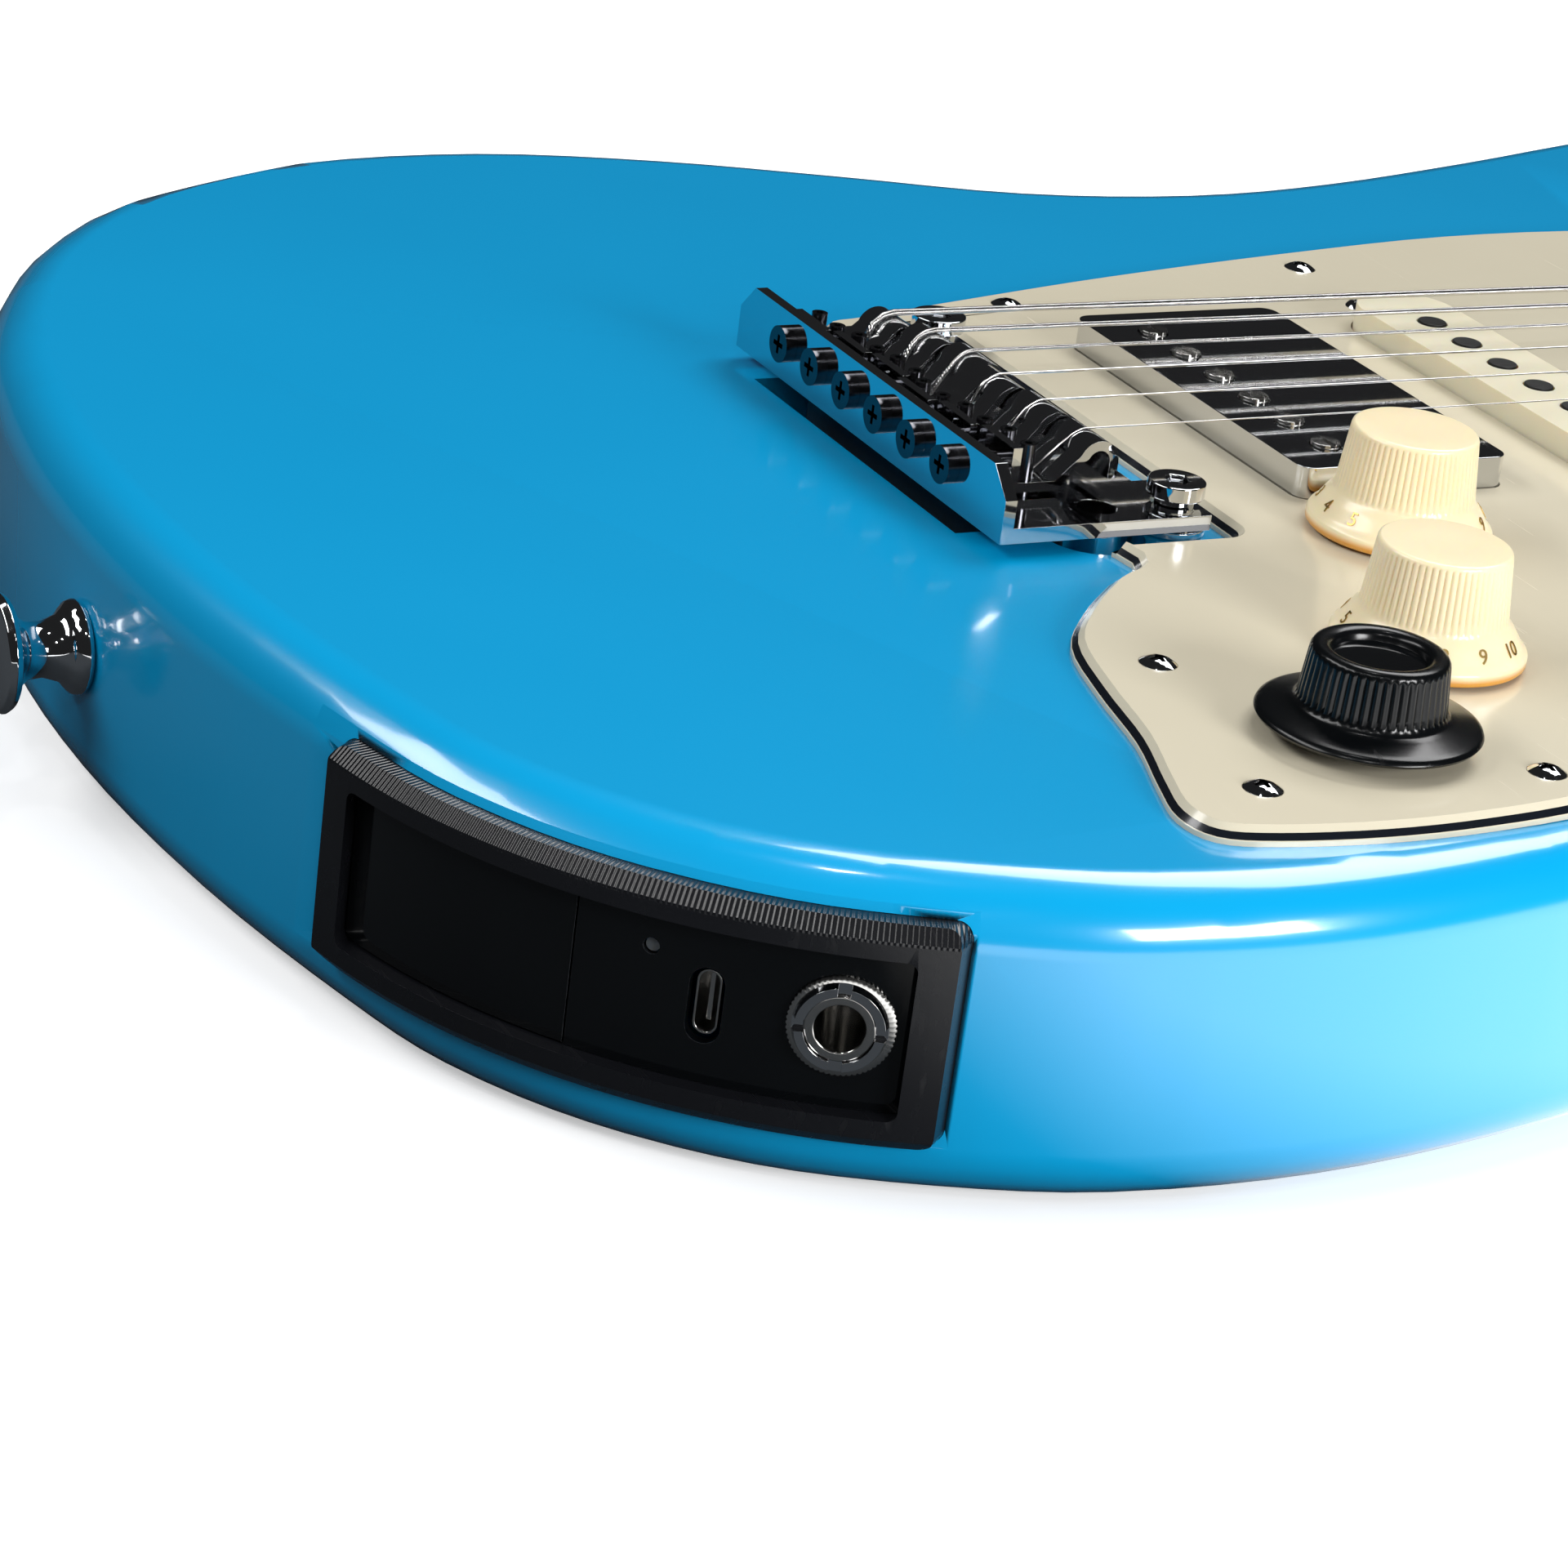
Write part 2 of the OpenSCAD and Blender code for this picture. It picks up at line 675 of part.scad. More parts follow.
module bridge_pickup_coils() {
    top = guard_top + pickup_rise - 1.4;
    color(black) translate([0, humbucker_y, 0]) difference() {
        union() {
            translate([0, 0, top - 17.6]) linear_extrude(15) round_rect(hum_l - 2.4, hum_w - 2.4, 1.4);
            translate([0, hum_ear_y, top - 19.4]) linear_extrude(2) round_rect(86, 8, 3.9);
        }
        for (i = [0:5]) translate([(i - 2.5) * pole_pitch, -9.4, top - 20]) cylinder(d = 3.1, h = 20);
        for (s = [-1, 1]) translate([s * 39.6, hum_ear_y, top - 21]) cylinder(d = 2.6, h = 20);
    }
}

module pole_screws() {
    top = guard_top + pickup_rise - 1.4;
    color(steel) for (i = [0:5]) translate([(i - 2.5) * pole_pitch, humbucker_y - 9.4, top]) difference() {
        union() {
            translate([0, 0, -1.5]) cylinder(d = 4.6, h = 2.1);
            translate([0, 0, -17]) cylinder(d = 3, h = 16);
        }
        translate([0, 0, 0.6]) cube([6, 0.8, 1], center = true);
    }
}

module height_screw(length) {
    difference() {
        union() {
            intersection() {
                translate([0, 0, -1.5]) sphere(d = 6);
                cylinder(d = 5.4, h = 2);
            }
            translate([0, 0, -length]) cylinder(d = 2.5, h = length + eps);
        }
        translate([0, 0, 1.4]) cross_slot(2.8, 1.2);
    }
}

module pickup_height_screws() {
    color(steel) {
        for (y = single_y, s = [-1, 1]) translate([s * 46.5, y, guard_top]) height_screw(21);
        for (s = [-1, 1]) translate([s * 39.6, humbucker_y + hum_ear_y, guard_top]) height_screw(20);
        selector_place() for (s = [-1, 1]) translate([0, s * 20.5, guard_top]) height_screw(8);
    }
}

// =================== Strap buttons ===================

module strap_button() {
    rotate_extrude() polygon([
        [2.1, 0], [6.6, 0], [7, 0.7], [6.6, 1.8], [4.8, 3.4], [4.0, 6], [4.3, 8.4], [5.8, 10.2],
        [8.2, 11], [8.8, 12], [8.2, 13], [6.2, 13.6], [4.2, 13.6], [2.1, 11.2]
    ]);
}

module at_strap_buttons() {
    translate([0, tail_y, body_t / 2]) rotate([90, 0, 0]) children();
    translate([horn_tip[0], horn_tip[1], body_t / 2]) rotate([-90, 0, 0]) children();
}

module strap_buttons() {
    color(steel) at_strap_buttons() strap_button();
}

module strap_button_screws() {
    color(steel) at_strap_buttons() difference() {
        union() {
            translate([0, 0, 11.2]) cylinder(d1 = 3.2, d2 = 7.6, h = 2.2);
            translate([0, 0, -22]) cylinder(d = 3.2, h = 33.3);
        }
        translate([0, 0, 13.4]) cross_slot(3.4, 1.4);
    }
}

// =================== Side pod ===================

// Bevelled band that the frame is cut from
module pod_band() {
    z0 = pod_z - pod_h / 2;
    z1 = pod_z + pod_h / 2;
    b = 1.8;
    translate([pod_c[0], pod_c[1], 0]) rotate_extrude($fn = 96) polygon([
        [pod_r - pod_seat + fit, z0], [pod_r + pod_proud - b, z0], [pod_r + pod_proud, z0 + b],
        [pod_r + pod_proud, z1 - b], [pod_r + pod_proud - b, z1], [pod_r - pod_seat + fit, z1]
    ]);
}

module pod_window(extra) {
    at_pod(pod_mid, 0, pod_z) linear_extrude(200)
        round_rect(pod_w - 2 * pod_rim + 2 * extra, pod_h - 2 * pod_rim + 2 * extra, 1.4);
}

module pod_frame() {
    color(black) difference() {
        intersection() {
            pod_band();
            at_pod(pod_mid, 0, pod_z) linear_extrude(200) round_rect(pod_w, pod_h, pod_corner);
        }
        pod_window(-2);
        intersection() {
            pod_ring(pod_r - 1, pod_r + 30, 0, body_t);
            pod_window(0);
        }
    }
}

// Curved skin that lies in the frame's window, between two places across it
module pod_skin_piece(t0, t1, gap) {
    intersection() {
        pod_ring(pod_r - 1 + 2 * fit, pod_r + pod_sunk, 0, body_t);
        pod_window(-gap);
        at_pod(pod_mid, 0, pod_z) translate([t0, -30, 0]) cube([t1 - t0, 60, 200]);
    }
}

module port_panel() {
    color(black) difference() {
        pod_skin_piece(seam_t + 0.15, 60, 0.1);
        at_pod(jack_a, pod_r - 5, pod_z + jack_dz) cylinder(d = 9.4, h = 10);
        at_pod(usb_a, pod_r - 5, pod_z + usb_dz) linear_extrude(10) round_rect(4.6, 10.4, 2.29);
        at_pod(led_a, pod_r - 5, pod_z + led_dz) cylinder(d = 2.2, h = 10);
    }
}

module battery_bay() {
    w0 = pod_r - battery_depth - 4;
    color(black) difference() {
        intersection() {
            pod_box(bay_t0 - bay_wall, bay_t1 + bay_wall, bay_h / 2 + bay_wall, w0);
            translate([pod_c[0], pod_c[1], 0]) cylinder(r = pod_r - pod_seat, h = body_t, $fn = 96);
        }
        pod_box(bay_t0, bay_t1, bay_h / 2, w0 + bay_wall);
    }
}

// The battery: a block in the bay, with a curved outer face that closes its part of the window
module battery_pack() {
    g = battery_gap;
    w0 = pod_r - battery_depth - 2;
    color(black) difference() {
        union() {
            pod_skin_piece(-60, seam_t - 0.15, 0.35);
            intersection() {
                pod_box(bay_t0 + g, bay_t1 - g, bay_h / 2 - g, w0);
                translate([pod_c[0], pod_c[1], 0]) cylinder(r = pod_r - 0.2, h = body_t, $fn = 96);
            }
        }
        // Contacts in the inner end
        for (t = [-28, -14]) at_pod(pod_mid, w0, pod_z) translate([t, 0, 0]) cube([4, 9, 2.4], center = true);
    }
}

module output_jack() {
    color(steel) at_pod(jack_a, 0, pod_z + jack_dz) difference() {
        union() {
            translate([0, 0, pod_r - 8]) cylinder(d = 9, h = 9.8);
            translate([0, 0, pod_r - 24]) cylinder(d = 13, h = 22.8);
        }
        translate([0, 0, pod_r - 22]) cylinder(d = jack_bore, h = 40);
    }
}

module jack_nut() {
    color(steel) at_pod(jack_a, pod_r + pod_sunk + 0.02, pod_z + jack_dz) difference() {
        cylinder(d1 = 12.6, d2 = 11.4, h = 1.6);
        translate([0, 0, -1]) cylinder(d = 9 + 2 * fit, h = 4);
        for (a = [0, 90]) rotate(a) translate([0, 0, 1.5]) cube([20, 1.7, 1.8], center = true);
    }
}

module usb_c_port() {
    color(steel) at_pod(usb_a, 0, pod_z + usb_dz) {
        difference() {
            translate([0, 0, pod_r - 9]) linear_extrude(8.4) round_rect(3.3, 9, 1.64);
            translate([0, 0, pod_r - 8.2]) linear_extrude(9) round_rect(2.6, 8.3, 1.29);
        }
        translate([0, 0, pod_r - 8.4]) linear_extrude(6) square([0.7, 6.6], center = true);
    }
}

module led_lens() {
    color(ivory) at_pod(led_a, pod_r - 2.6, pod_z + led_dz) cylinder(d = 2, h = 2.6);
}

// =================== Controls ===================

module pot(xy) {
    translate([xy[0], xy[1], guard_z]) {
        difference() {
            union() {
                translate([0, 0, -1.6 - pot_h]) cylinder(d = pot_d, h = pot_h);
                translate([0, 0, -1.7]) cylinder(d = bushing_d, h = 1.7 + guard_t + 3);
                translate([-5, -pot_d / 2 - 4, -8]) cube([10, 6, 1.2]);
            }
            translate([0, 0, -1.6 - pot_h + 1.2]) cylinder(d = shaft_d + 2 * fit, h = pot_h + 10);
        }
        translate([0, 0, guard_t + eps]) difference() {
            cylinder(d = 12.7, h = 2, $fn = 6);
            translate([0, 0, -1]) cylinder(d = bushing_d + 2 * fit, h = 4);
        }
    }
}

module control_pots() {
    color(steel) for (p = [volume_xy, tone_xy, dial_xy]) pot(p);
}

module control_shaft(xy, top) {
    color(steel) translate([xy[0], xy[1], guard_z - 1.6 - pot_h + 3.2])
        cylinder(d = shaft_d, h = top - (guard_z - 1.6 - pot_h + 3.2));
}

// Pale knob: flared skirt, ribbed grip, hollow underside
module pale_knob(xy) {
    skirt = knob_skirt_d / 2;
    grip = knob_top_d / 2;
    base = grip + 1.1;
    color(cream) translate([xy[0], xy[1], guard_top + knob_gap]) difference() {
        rotate_extrude() polygon([
            [shaft_d / 2 + fit, 4.6], [8.6, 4.6], [8.6, 2.4], [skirt - 1.6, 0], [skirt, 0], [skirt, 1.4],
            [skirt - 0.7, 2.4], [base + 1.5, 4.6], [base + 0.3, 5.6], [base, 6.4],
            [grip, knob_h - 0.5], [grip - 0.5, knob_h], [0, knob_h], [0, knob_h - 2],
            [shaft_d / 2 + fit, knob_h - 2]
        ]);
        for (i = [0:35]) rotate(i * 10) translate([grip + 0.9, 0, 6.4]) rotate([0, -4.2, 0])
            cylinder(r = 0.42, h = knob_h, $fn = 13);
    }
}

module dial_knob() {
    skirt = dial_skirt_d / 2;
    color(black) translate([dial_xy[0], dial_xy[1], guard_top + 2.2]) difference() {
        rotate_extrude() polygon([
            [shaft_d / 2 + fit, 2.6], [8.4, 2.6], [8.4, 0.6], [skirt - 1.4, 0], [skirt, 0.5],
            [skirt - 0.3, 1.3], [10.9, 3.2], [10.1, 3.6], [9.5, dial_h - 3.4], [8.9, dial_h - 2.5],
            [7.9, dial_h - 2.2], [6.5, dial_h - 2.6], [6.4, dial_h - 4.6], [shaft_d / 2 + fit, dial_h - 4.6]
        ]);
        for (i = [0:35]) rotate(i * 10) translate([10.35, 0, 4.2]) rotate([0, -4.6, 0])
            cylinder(r = 0.42, h = dial_h - 8.2, $fn = 13);
    }
}

module dial_lens() {
    color(black) translate([dial_xy[0], dial_xy[1], guard_top + dial_h - 2.4 + eps])
        cylinder(d = 12.7, h = 0.9);
}

module selector_place() {
    translate([selector_xy[0], selector_xy[1], 0]) rotate(selector_turn) children();
}

module selector_switch() {
    color(steel) selector_place() difference() {
        union() {
            translate([-6, -25, guard_z - 1.6]) cube([12, 50, 1.5]);
            for (x = [-6, 4.6]) translate([x, -13, guard_z - 22]) cube([1.4, 26, 21]);
            translate([-6, -13, guard_z - 23.5]) cube([12, 26, 2]);
        }
        translate([0, 0, guard_z - 3]) linear_extrude(5) square([4, 25], center = true);
        for (s = [-1, 1]) translate([0, s * 20.5, guard_z - 4]) cylinder(d = 2.7, h = 8);
        translate([-10, 0, selector_pivot_z]) rotate([0, 90, 0]) cylinder(d = 2.4, h = 20);
    }
}

module selector_lever() {
    top = guard_top + 11;
    color(steel) selector_place() {
        translate([-0.7, -2.2, selector_pivot_z - 3]) cube([1.4, 4.4, top - selector_pivot_z + 3]);
        translate([-0.7, 0, selector_pivot_z]) rotate([0, 90, 0]) cylinder(d = 12, h = 1.4);
        translate([-6.4, 0, selector_pivot_z]) rotate([0, 90, 0]) cylinder(d = 2.4 - 2 * fit, h = 12.8);
    }
}

module selector_tip() {
    z0 = guard_top + 4.5;
    color(cream) selector_place() difference() {
        translate([0, 0, z0]) intersection() {
            linear_extrude(9) round_rect(5, 7.4, 2.3);
            translate([0, 0, -2]) cylinder(d1 = 12, d2 = 6.4, h = 12);
        }
        translate([-0.75, -2.25, z0 - 1]) cube([1.5, 4.5, 8.6]);
    }
}

// =================== Bridge ===================

module bridge_posts() {
    color(steel) for (s = [-1, 1]) translate([s * post_pitch / 2, pivot_y, 0]) difference() {
        union() {
            translate([0, 0, body_t - 22]) cylinder(r = post_r, h = plate_top + 3 - body_t + 22);
            translate([0, 0, body_t + 0.1]) cylinder(r = 5.2, h = 1.2);
            translate([0, 0, plate_top + 1.2]) cylinder(r = 4.4, h = 2.4);
        }
        translate([0, 0, plate_top + 1.6]) cylinder(d = 4, h = 4, $fn = 6);
    }
}

module bridge_plate() {
    color(steel) {
        difference() {
            union() {
                translate([-plate_w / 2, plate_y0, plate_z]) cube([plate_w, plate_y1 - plate_y0, plate_t]);
                translate([-plate_w / 2, plate_y0, plate_z]) cube([plate_w, 2, flange_h]);
                translate([arm_xy[0], arm_xy[1], plate_z - arm_depth]) cylinder(r = arm_r + 1.8, h = arm_depth + 1);
            }
            // Notches that the posts stand in
            for (s = [-1, 1]) translate([s * post_pitch / 2, pivot_y, plate_z - 1]) {
                cylinder(r = post_r + 0.6, h = plate_t + 2);
                translate([-post_r - 0.6, 0, 0]) cube([2 * post_r + 1.2, 10, plate_t + 2]);
            }
            // The front edge is set back between the notches
            translate([9 - post_pitch / 2, pivot_y - 2, plate_z - 1]) cube([post_pitch - 18, 20, plate_t + 2]);
            for (i = [0:5]) {
                translate([string_x(i), drop_y, plate_z - 1]) cylinder(d = 4.2, h = plate_t + 2);
                translate([string_x(i), plate_y0 - 1, plate_top + intonation_z]) rotate([-90, 0, 0])
                    cylinder(d = 3.3, h = 5);
            }
            translate([arm_xy[0], arm_xy[1], plate_z - arm_depth - 1]) cylinder(r = arm_r, h = arm_depth + 10);
            for (s = [-1, 1]) translate([s * plate_w / 2, plate_y0, plate_z + flange_h])
                rotate([0, 45, 0]) cube([6, 8, 6], center = true);
        }
    }
}

module tremolo_block() {
    color(steel) difference() {
        translate([-block_w / 2, block_y0, block_z0]) cube([block_w, block_t, block_h - 0.02]);
        for (i = [0:5]) translate([string_x(i), drop_y, block_z0 - 1]) {
            cylinder(d = 3, h = block_h + 2);
            cylinder(d = 4.6, h = 16);
        }
        for (x = spring_x) translate([x, block_y0 + block_t - 6, spring_z]) rotate([-90, 0, 0])
            cylinder(d = 2, h = 8);
    }
}

// Bent steel saddle, its crest under the string at its own y = 0
function saddle_base() = plate_top + saddle_lift;
function saddle_rise(i) = string_z(i) - string_d[i] / 2 - saddle_base();
module saddle(i) {
    t = saddle_t;
    r = saddle_r;
    rise = saddle_rise(i);
    tab = saddle_tab_y;
    translate([string_x(i) - saddle_w / 2, saddle_back[i], saddle_base()]) difference() {
        rotate([90, 0, 90]) linear_extrude(saddle_w) polygon(concat(
            [[tab - t, 0], [-6.5, 0], [-3.6, rise - 3.7]],
            [for (a = [160:-20:0]) [(r - t) * cos(a), rise - r + (r - t) * sin(a)]],
            [[r - t, rise - 6], [r, rise - 6]],
            [for (a = [0:10:160]) [r * cos(a), rise - r + r * sin(a)]],
            [[-7.2, t], [tab, t], [tab, 7], [tab - t, 7]]
        ));
        translate([saddle_w / 2 - 1.2, -10, -1]) cube([2.4, 7.1, rise - 1.2]);
        translate([saddle_w / 2, tab - t - 1, intonation_z - saddle_lift]) rotate([-90, 0, 0])
            cylinder(d = 3, h = t + 2);
        for (x = [2, saddle_w - 2]) translate([x, -11.4, -1]) cylinder(d = 2.6, h = t + 2);
    }
}

module saddles() {
    color(steel) for (i = [0:5]) saddle(i);
}

module intonation_screw(i) {
    y1 = saddle_tab_y + saddle_back[i] + 3;
    translate([string_x(i), plate_y0 - 0.02, plate_top + intonation_z]) rotate([-90, 0, 0]) difference() {
        union() {
            translate([0, 0, -1.8]) cylinder(d = 5.8, h = 1.8);
            cylinder(d = 2.6, h = y1 - plate_y0);
        }
        translate([0, 0, -1.8]) rotate([180, 0, 0]) cross_slot(3, 1.2);
    }
}

module saddle_screws() {
    color(steel) for (i = [0:5]) {
        intonation_screw(i);
        for (s = [-1, 1])
            translate([string_x(i) + s * (saddle_w / 2 - 2), saddle_back[i] - 11.4, plate_top + 0.02])
                difference() {
                    cylinder(d = 2.5, h = 7.6);
                    translate([0, 0, 6.2]) cylinder(d = 1.3, h = 3, $fn = 6);
                }
    }
}

module spring_claw() {
    color(steel) difference() {
        translate([-28, claw_y, 5]) cube([56, 1.6, 11]);
        for (x = spring_x) translate([x, claw_y - 1, spring_z]) rotate([-90, 0, 0]) cylinder(d = 2, h = 4);
        for (x = [-16, 16]) translate([x, claw_y - 0.4, cavity_depth / 2 + 1]) rotate([-90, 0, 0])
            cylinder(d1 = 9.2, d2 = 5.4, h = 2.1);
    }
}

// Each spring's coil as a tube of its outer size, with a straight hook at both ends
module tremolo_springs() {
    y0 = block_y0 + block_t;
    color(steel) for (x = spring_x) translate([x, 0, spring_z]) rotate([-90, 0, 0]) {
        difference() {
            translate([0, 0, y0 + 8]) cylinder(d = spring_d, h = claw_y - 18 - y0);
            translate([0, 0, y0 + 9]) cylinder(d = spring_d - 3, h = claw_y - 20 - y0);
        }
        translate([0, 0, y0 - 5]) cylinder(d = 1.4, h = 13.2);
        translate([0, 0, claw_y - 10.2]) cylinder(d = 1.4, h = 13);
    }
}

// =================== Strings ===================

function unit(v) = v / norm(v);
// Ring of eight points round a path's point, square to the direction the path runs there
function wire_ring(p, dir, r) = let (
    u = unit([1, 0, 0] - dir[0] * dir),
    v = cross(u, dir)
) [for (a = [0:45:315]) p + r * cos(a) * u + r * sin(a) * v];
module wire(path, r) {
    n = len(path);
    loft([for (k = [0:n - 1]) wire_ring(path[k],
        unit((k < n - 1 ? unit(path[k + 1] - path[k]) : [0, 0, 0]) + (k > 0 ? unit(path[k] - path[k - 1]) : [0, 0, 0])),
        r)]);
}

// Angle round the saddle's crest at which the string leaves it on its way down
function leave_angle(i) = let (
    v = [drop_y - saddle_back[i], plate_top + 1.6 - string_z(i) + string_d[i] / 2 + saddle_r]
) 360 + atan2(v[1], v[0]) - acos((saddle_r + string_d[i] / 2) / norm(v));
function crest_point(i, a) = let (r = saddle_r + string_d[i] / 2 + 0.08) [
    string_x(i), saddle_back[i] + r * cos(a), string_z(i) - string_d[i] / 2 - saddle_r + r * sin(a)
];

module string(i) {
    d = string_d[i];
    p = tuner_xy(i);
    a = leave_angle(i);
    wrap_x = p[0] + post_d / 2 + d / 2 + fit;
    wire([
        [string_x(i), drop_y, block_z0 + 13],
        [string_x(i), drop_y, plate_top + 1.6],
        crest_point(i, a),
        crest_point(i, (2 * a + 90) / 3),
        crest_point(i, (a + 180) / 3),
        crest_point(i, 90),
        [nut_x(i), scale_len, nut_z(i)],
        [nut_x(i), scale_len + nut_t, nut_z(i) - 0.05],
        [wrap_x, p[1], wrap_z]
    ], d / 2);
    translate([string_x(i), drop_y, block_z0 + 12]) cylinder(d = 3.8, h = 2.9);
    translate([p[0], p[1], wrap_z - 2.5 * d]) difference() {
        cylinder(r = post_d / 2 + d + fit, h = 3 * d);
        translate([0, 0, -1]) cylinder(r = post_d / 2 + fit, h = 3 * d + 2);
    }
}

module strings() {
    color(steel) for (i = [0:5]) string(i);
}

// =================== Tuners ===================

module tuner_housings() {
    z0 = head_z0 - housing_h;
    color(steel) for (i = [0:5]) at_tuner(i) difference() {
        union() {
            translate([-11, -7, z0]) cube([17, 18.4, housing_h - 0.02]);
            translate([0, 0, head_z0 - 0.1]) cylinder(d = 9.4, h = head_t + 0.1);
            translate([0, 0, head_z1 + eps]) cylinder(d = 14, h = 1.6, $fn = 6);
        }
        translate([0, 0, z0 - 1]) cylinder(d = post_d + 2 * fit, h = 60);
        translate([0, 0, z0 + 1.2]) cylinder(d = gear_d + 0.6, h = housing_h - 2.6);
        translate([-20, key_offset, z0 + housing_h / 2]) rotate([0, 90, 0]) cylinder(d = key_shaft_d + 2 * fit, h = 40);
        translate([-7, key_offset, z0 + housing_h / 2]) rotate([0, 90, 0]) cylinder(d = worm_d + 0.6, h = 12);
    }
}

module tuner_post(i) {
    z0 = head_z0 - housing_h;
    color(steel) at_tuner(i) difference() {
        union() {
            translate([0, 0, z0]) cylinder(d = post_d, h = head_z1 + 16 - z0);
            translate([0, 0, z0 + housing_h / 2 - 1.5]) cylinder(d = gear_d, h = 3);
        }
        translate([0, 0, head_z1 + 12]) rotate([0, 90, 0]) cylinder(d = 1.8, h = 20, center = true);
    }
}

module tuner_key(i) {
    z = head_z0 - housing_h / 2;
    color(steel) at_tuner(i) translate([0, key_offset, z]) rotate([0, -90, 0]) {
        translate([0, 0, -5]) cylinder(d = key_shaft_d, h = 22);
        translate([0, 0, -4.6]) cylinder(d = worm_d, h = 11);
        translate([0, 0, 11.4]) cylinder(d = 6, h = 5);
        translate([0, 0, 24]) intersection() {
            rotate([0, 90, 0]) linear_extrude(7, center = true) {
                circle(d = 17);
                square([17, 9], center = true);
            }
            rotate([0, 90, 0]) cylinder(r = 9.4, h = 20, center = true);
            rotate([90, 0, 0]) cylinder(r = 9, h = 20, center = true);
        }
    }
}

// =================== Nodes ===================

body();
pickguard();
plate_screws();
neck();
fingerboard();
frets();
fret_dots();
nut();
truss_rod();
neck_plate();
long_wood_screws();
back_cover();
bridge_posts();
single_coil_covers();
single_coils();
bridge_pickup_cover();
bridge_pickup_coils();
pole_screws();
pickup_height_screws();
strap_buttons();
strap_button_screws();
pod_frame();
port_panel();
battery_bay();
output_jack();
jack_nut();
usb_c_port();
led_lens();
battery_pack();
control_pots();
pale_knob(volume_xy);  // volume_knob
control_shaft(volume_xy, guard_top + knob_gap + knob_h - 2.2);  // volume_shaft
pale_knob(tone_xy);  // tone_knob
control_shaft(tone_xy, guard_top + knob_gap + knob_h - 2.2);  // tone_shaft
dial_knob();
dial_lens();
control_shaft(dial_xy, guard_top + dial_h - 4.4);  // dial_shaft
selector_switch();
selector_lever();
selector_tip();
bridge_plate();
tremolo_block();
saddles();
saddle_screws();
spring_claw();
tremolo_springs();
strings();
tuner_housings();
tuner_post(0);  // tuner_post_1
tuner_post(1);  // tuner_post_2
tuner_post(2);  // tuner_post_3
tuner_post(3);  // tuner_post_4
tuner_post(4);  // tuner_post_5
tuner_post(5);  // tuner_post_6
tuner_key(0);  // tuner_key_1
tuner_key(1);  // tuner_key_2
tuner_key(2);  // tuner_key_3
tuner_key(3);  // tuner_key_4
tuner_key(4);  // tuner_key_5
tuner_key(5);  // tuner_key_6
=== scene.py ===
import json
import math

import bmesh
import bpy
from mathutils import Matrix, Vector


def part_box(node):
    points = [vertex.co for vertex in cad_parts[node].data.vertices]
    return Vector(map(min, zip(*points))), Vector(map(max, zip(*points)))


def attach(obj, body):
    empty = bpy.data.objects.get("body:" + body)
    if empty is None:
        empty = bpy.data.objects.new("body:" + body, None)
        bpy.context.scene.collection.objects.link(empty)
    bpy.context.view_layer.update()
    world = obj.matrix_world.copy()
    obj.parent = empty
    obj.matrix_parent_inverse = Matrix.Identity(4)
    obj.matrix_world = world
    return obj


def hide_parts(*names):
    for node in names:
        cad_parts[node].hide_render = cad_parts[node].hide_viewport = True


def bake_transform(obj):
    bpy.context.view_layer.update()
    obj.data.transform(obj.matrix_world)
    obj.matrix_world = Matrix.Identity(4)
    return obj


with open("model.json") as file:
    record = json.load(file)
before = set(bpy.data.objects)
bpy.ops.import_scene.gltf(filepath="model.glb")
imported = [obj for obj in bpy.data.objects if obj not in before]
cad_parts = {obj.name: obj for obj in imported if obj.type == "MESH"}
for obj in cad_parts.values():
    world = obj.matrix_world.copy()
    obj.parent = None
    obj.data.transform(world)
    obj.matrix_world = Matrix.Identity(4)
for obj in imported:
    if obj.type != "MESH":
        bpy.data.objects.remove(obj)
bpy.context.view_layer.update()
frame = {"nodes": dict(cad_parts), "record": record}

MM = 0.001
UP = Vector((0, 0, 1))
CAD = frame["nodes"]
BODY_OF = {n: b for b, members in frame["record"]["behaviour"]["bodies"].items() for n in members}
SLOT_OF = {row["node"]: row["material_slot"] for row in frame["record"]["subparts"]}

# The side pod is an arc of the body's outline about this centre.
POD_CENTRE = Vector((60 * MM, -49 * MM, 0))
POD_RADIUS = 88 * MM
POD_FRAME_LOW, POD_FRAME_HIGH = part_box("pod_frame")
GUARD_LOW, GUARD_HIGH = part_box("pickguard")


# ---------------------------------------------------------------- materials

def group_of(name, inputs, outputs):
    """An empty shader node group with float, vector or colour sockets, and its two ends."""
    group = bpy.data.node_groups.new(name, "ShaderNodeTree")
    for label, kind, value in inputs:
        made = group.interface.new_socket(label, in_out="INPUT", socket_type=kind)
        if value is not None:
            made.default_value = value
    for label, kind in outputs:
        group.interface.new_socket(label, in_out="OUTPUT", socket_type=kind)
    return group, group.nodes.new("NodeGroupInput"), group.nodes.new("NodeGroupOutput")


def add(tree, kind, values=None, **settings):
    """A node with its settings, and values for sockets by name or number. A socket given as a value is linked."""
    node = tree.nodes.new(kind)
    for key, value in settings.items():
        setattr(node, key, value)
    for key, value in (values or {}).items():
        if isinstance(value, bpy.types.NodeSocket):
            tree.links.new(value, node.inputs[key])
        else:
            node.inputs[key].default_value = value
    return node


def maths(tree, operation, *values):
    return add(tree, "ShaderNodeMath", dict(enumerate(values)), operation=operation).outputs[0]


def mixed(tree, factor, low, high, blend="MIX"):
    """A colour between low and high."""
    node = tree.nodes.new("ShaderNodeMix")
    node.data_type = "RGBA"
    node.blend_type = blend
    for key, value in ((0, factor), (6, low), (7, high)):
        if isinstance(value, bpy.types.NodeSocket):
            tree.links.new(value, node.inputs[key])
        else:
            node.inputs[key].default_value = value
    return node.outputs[2]


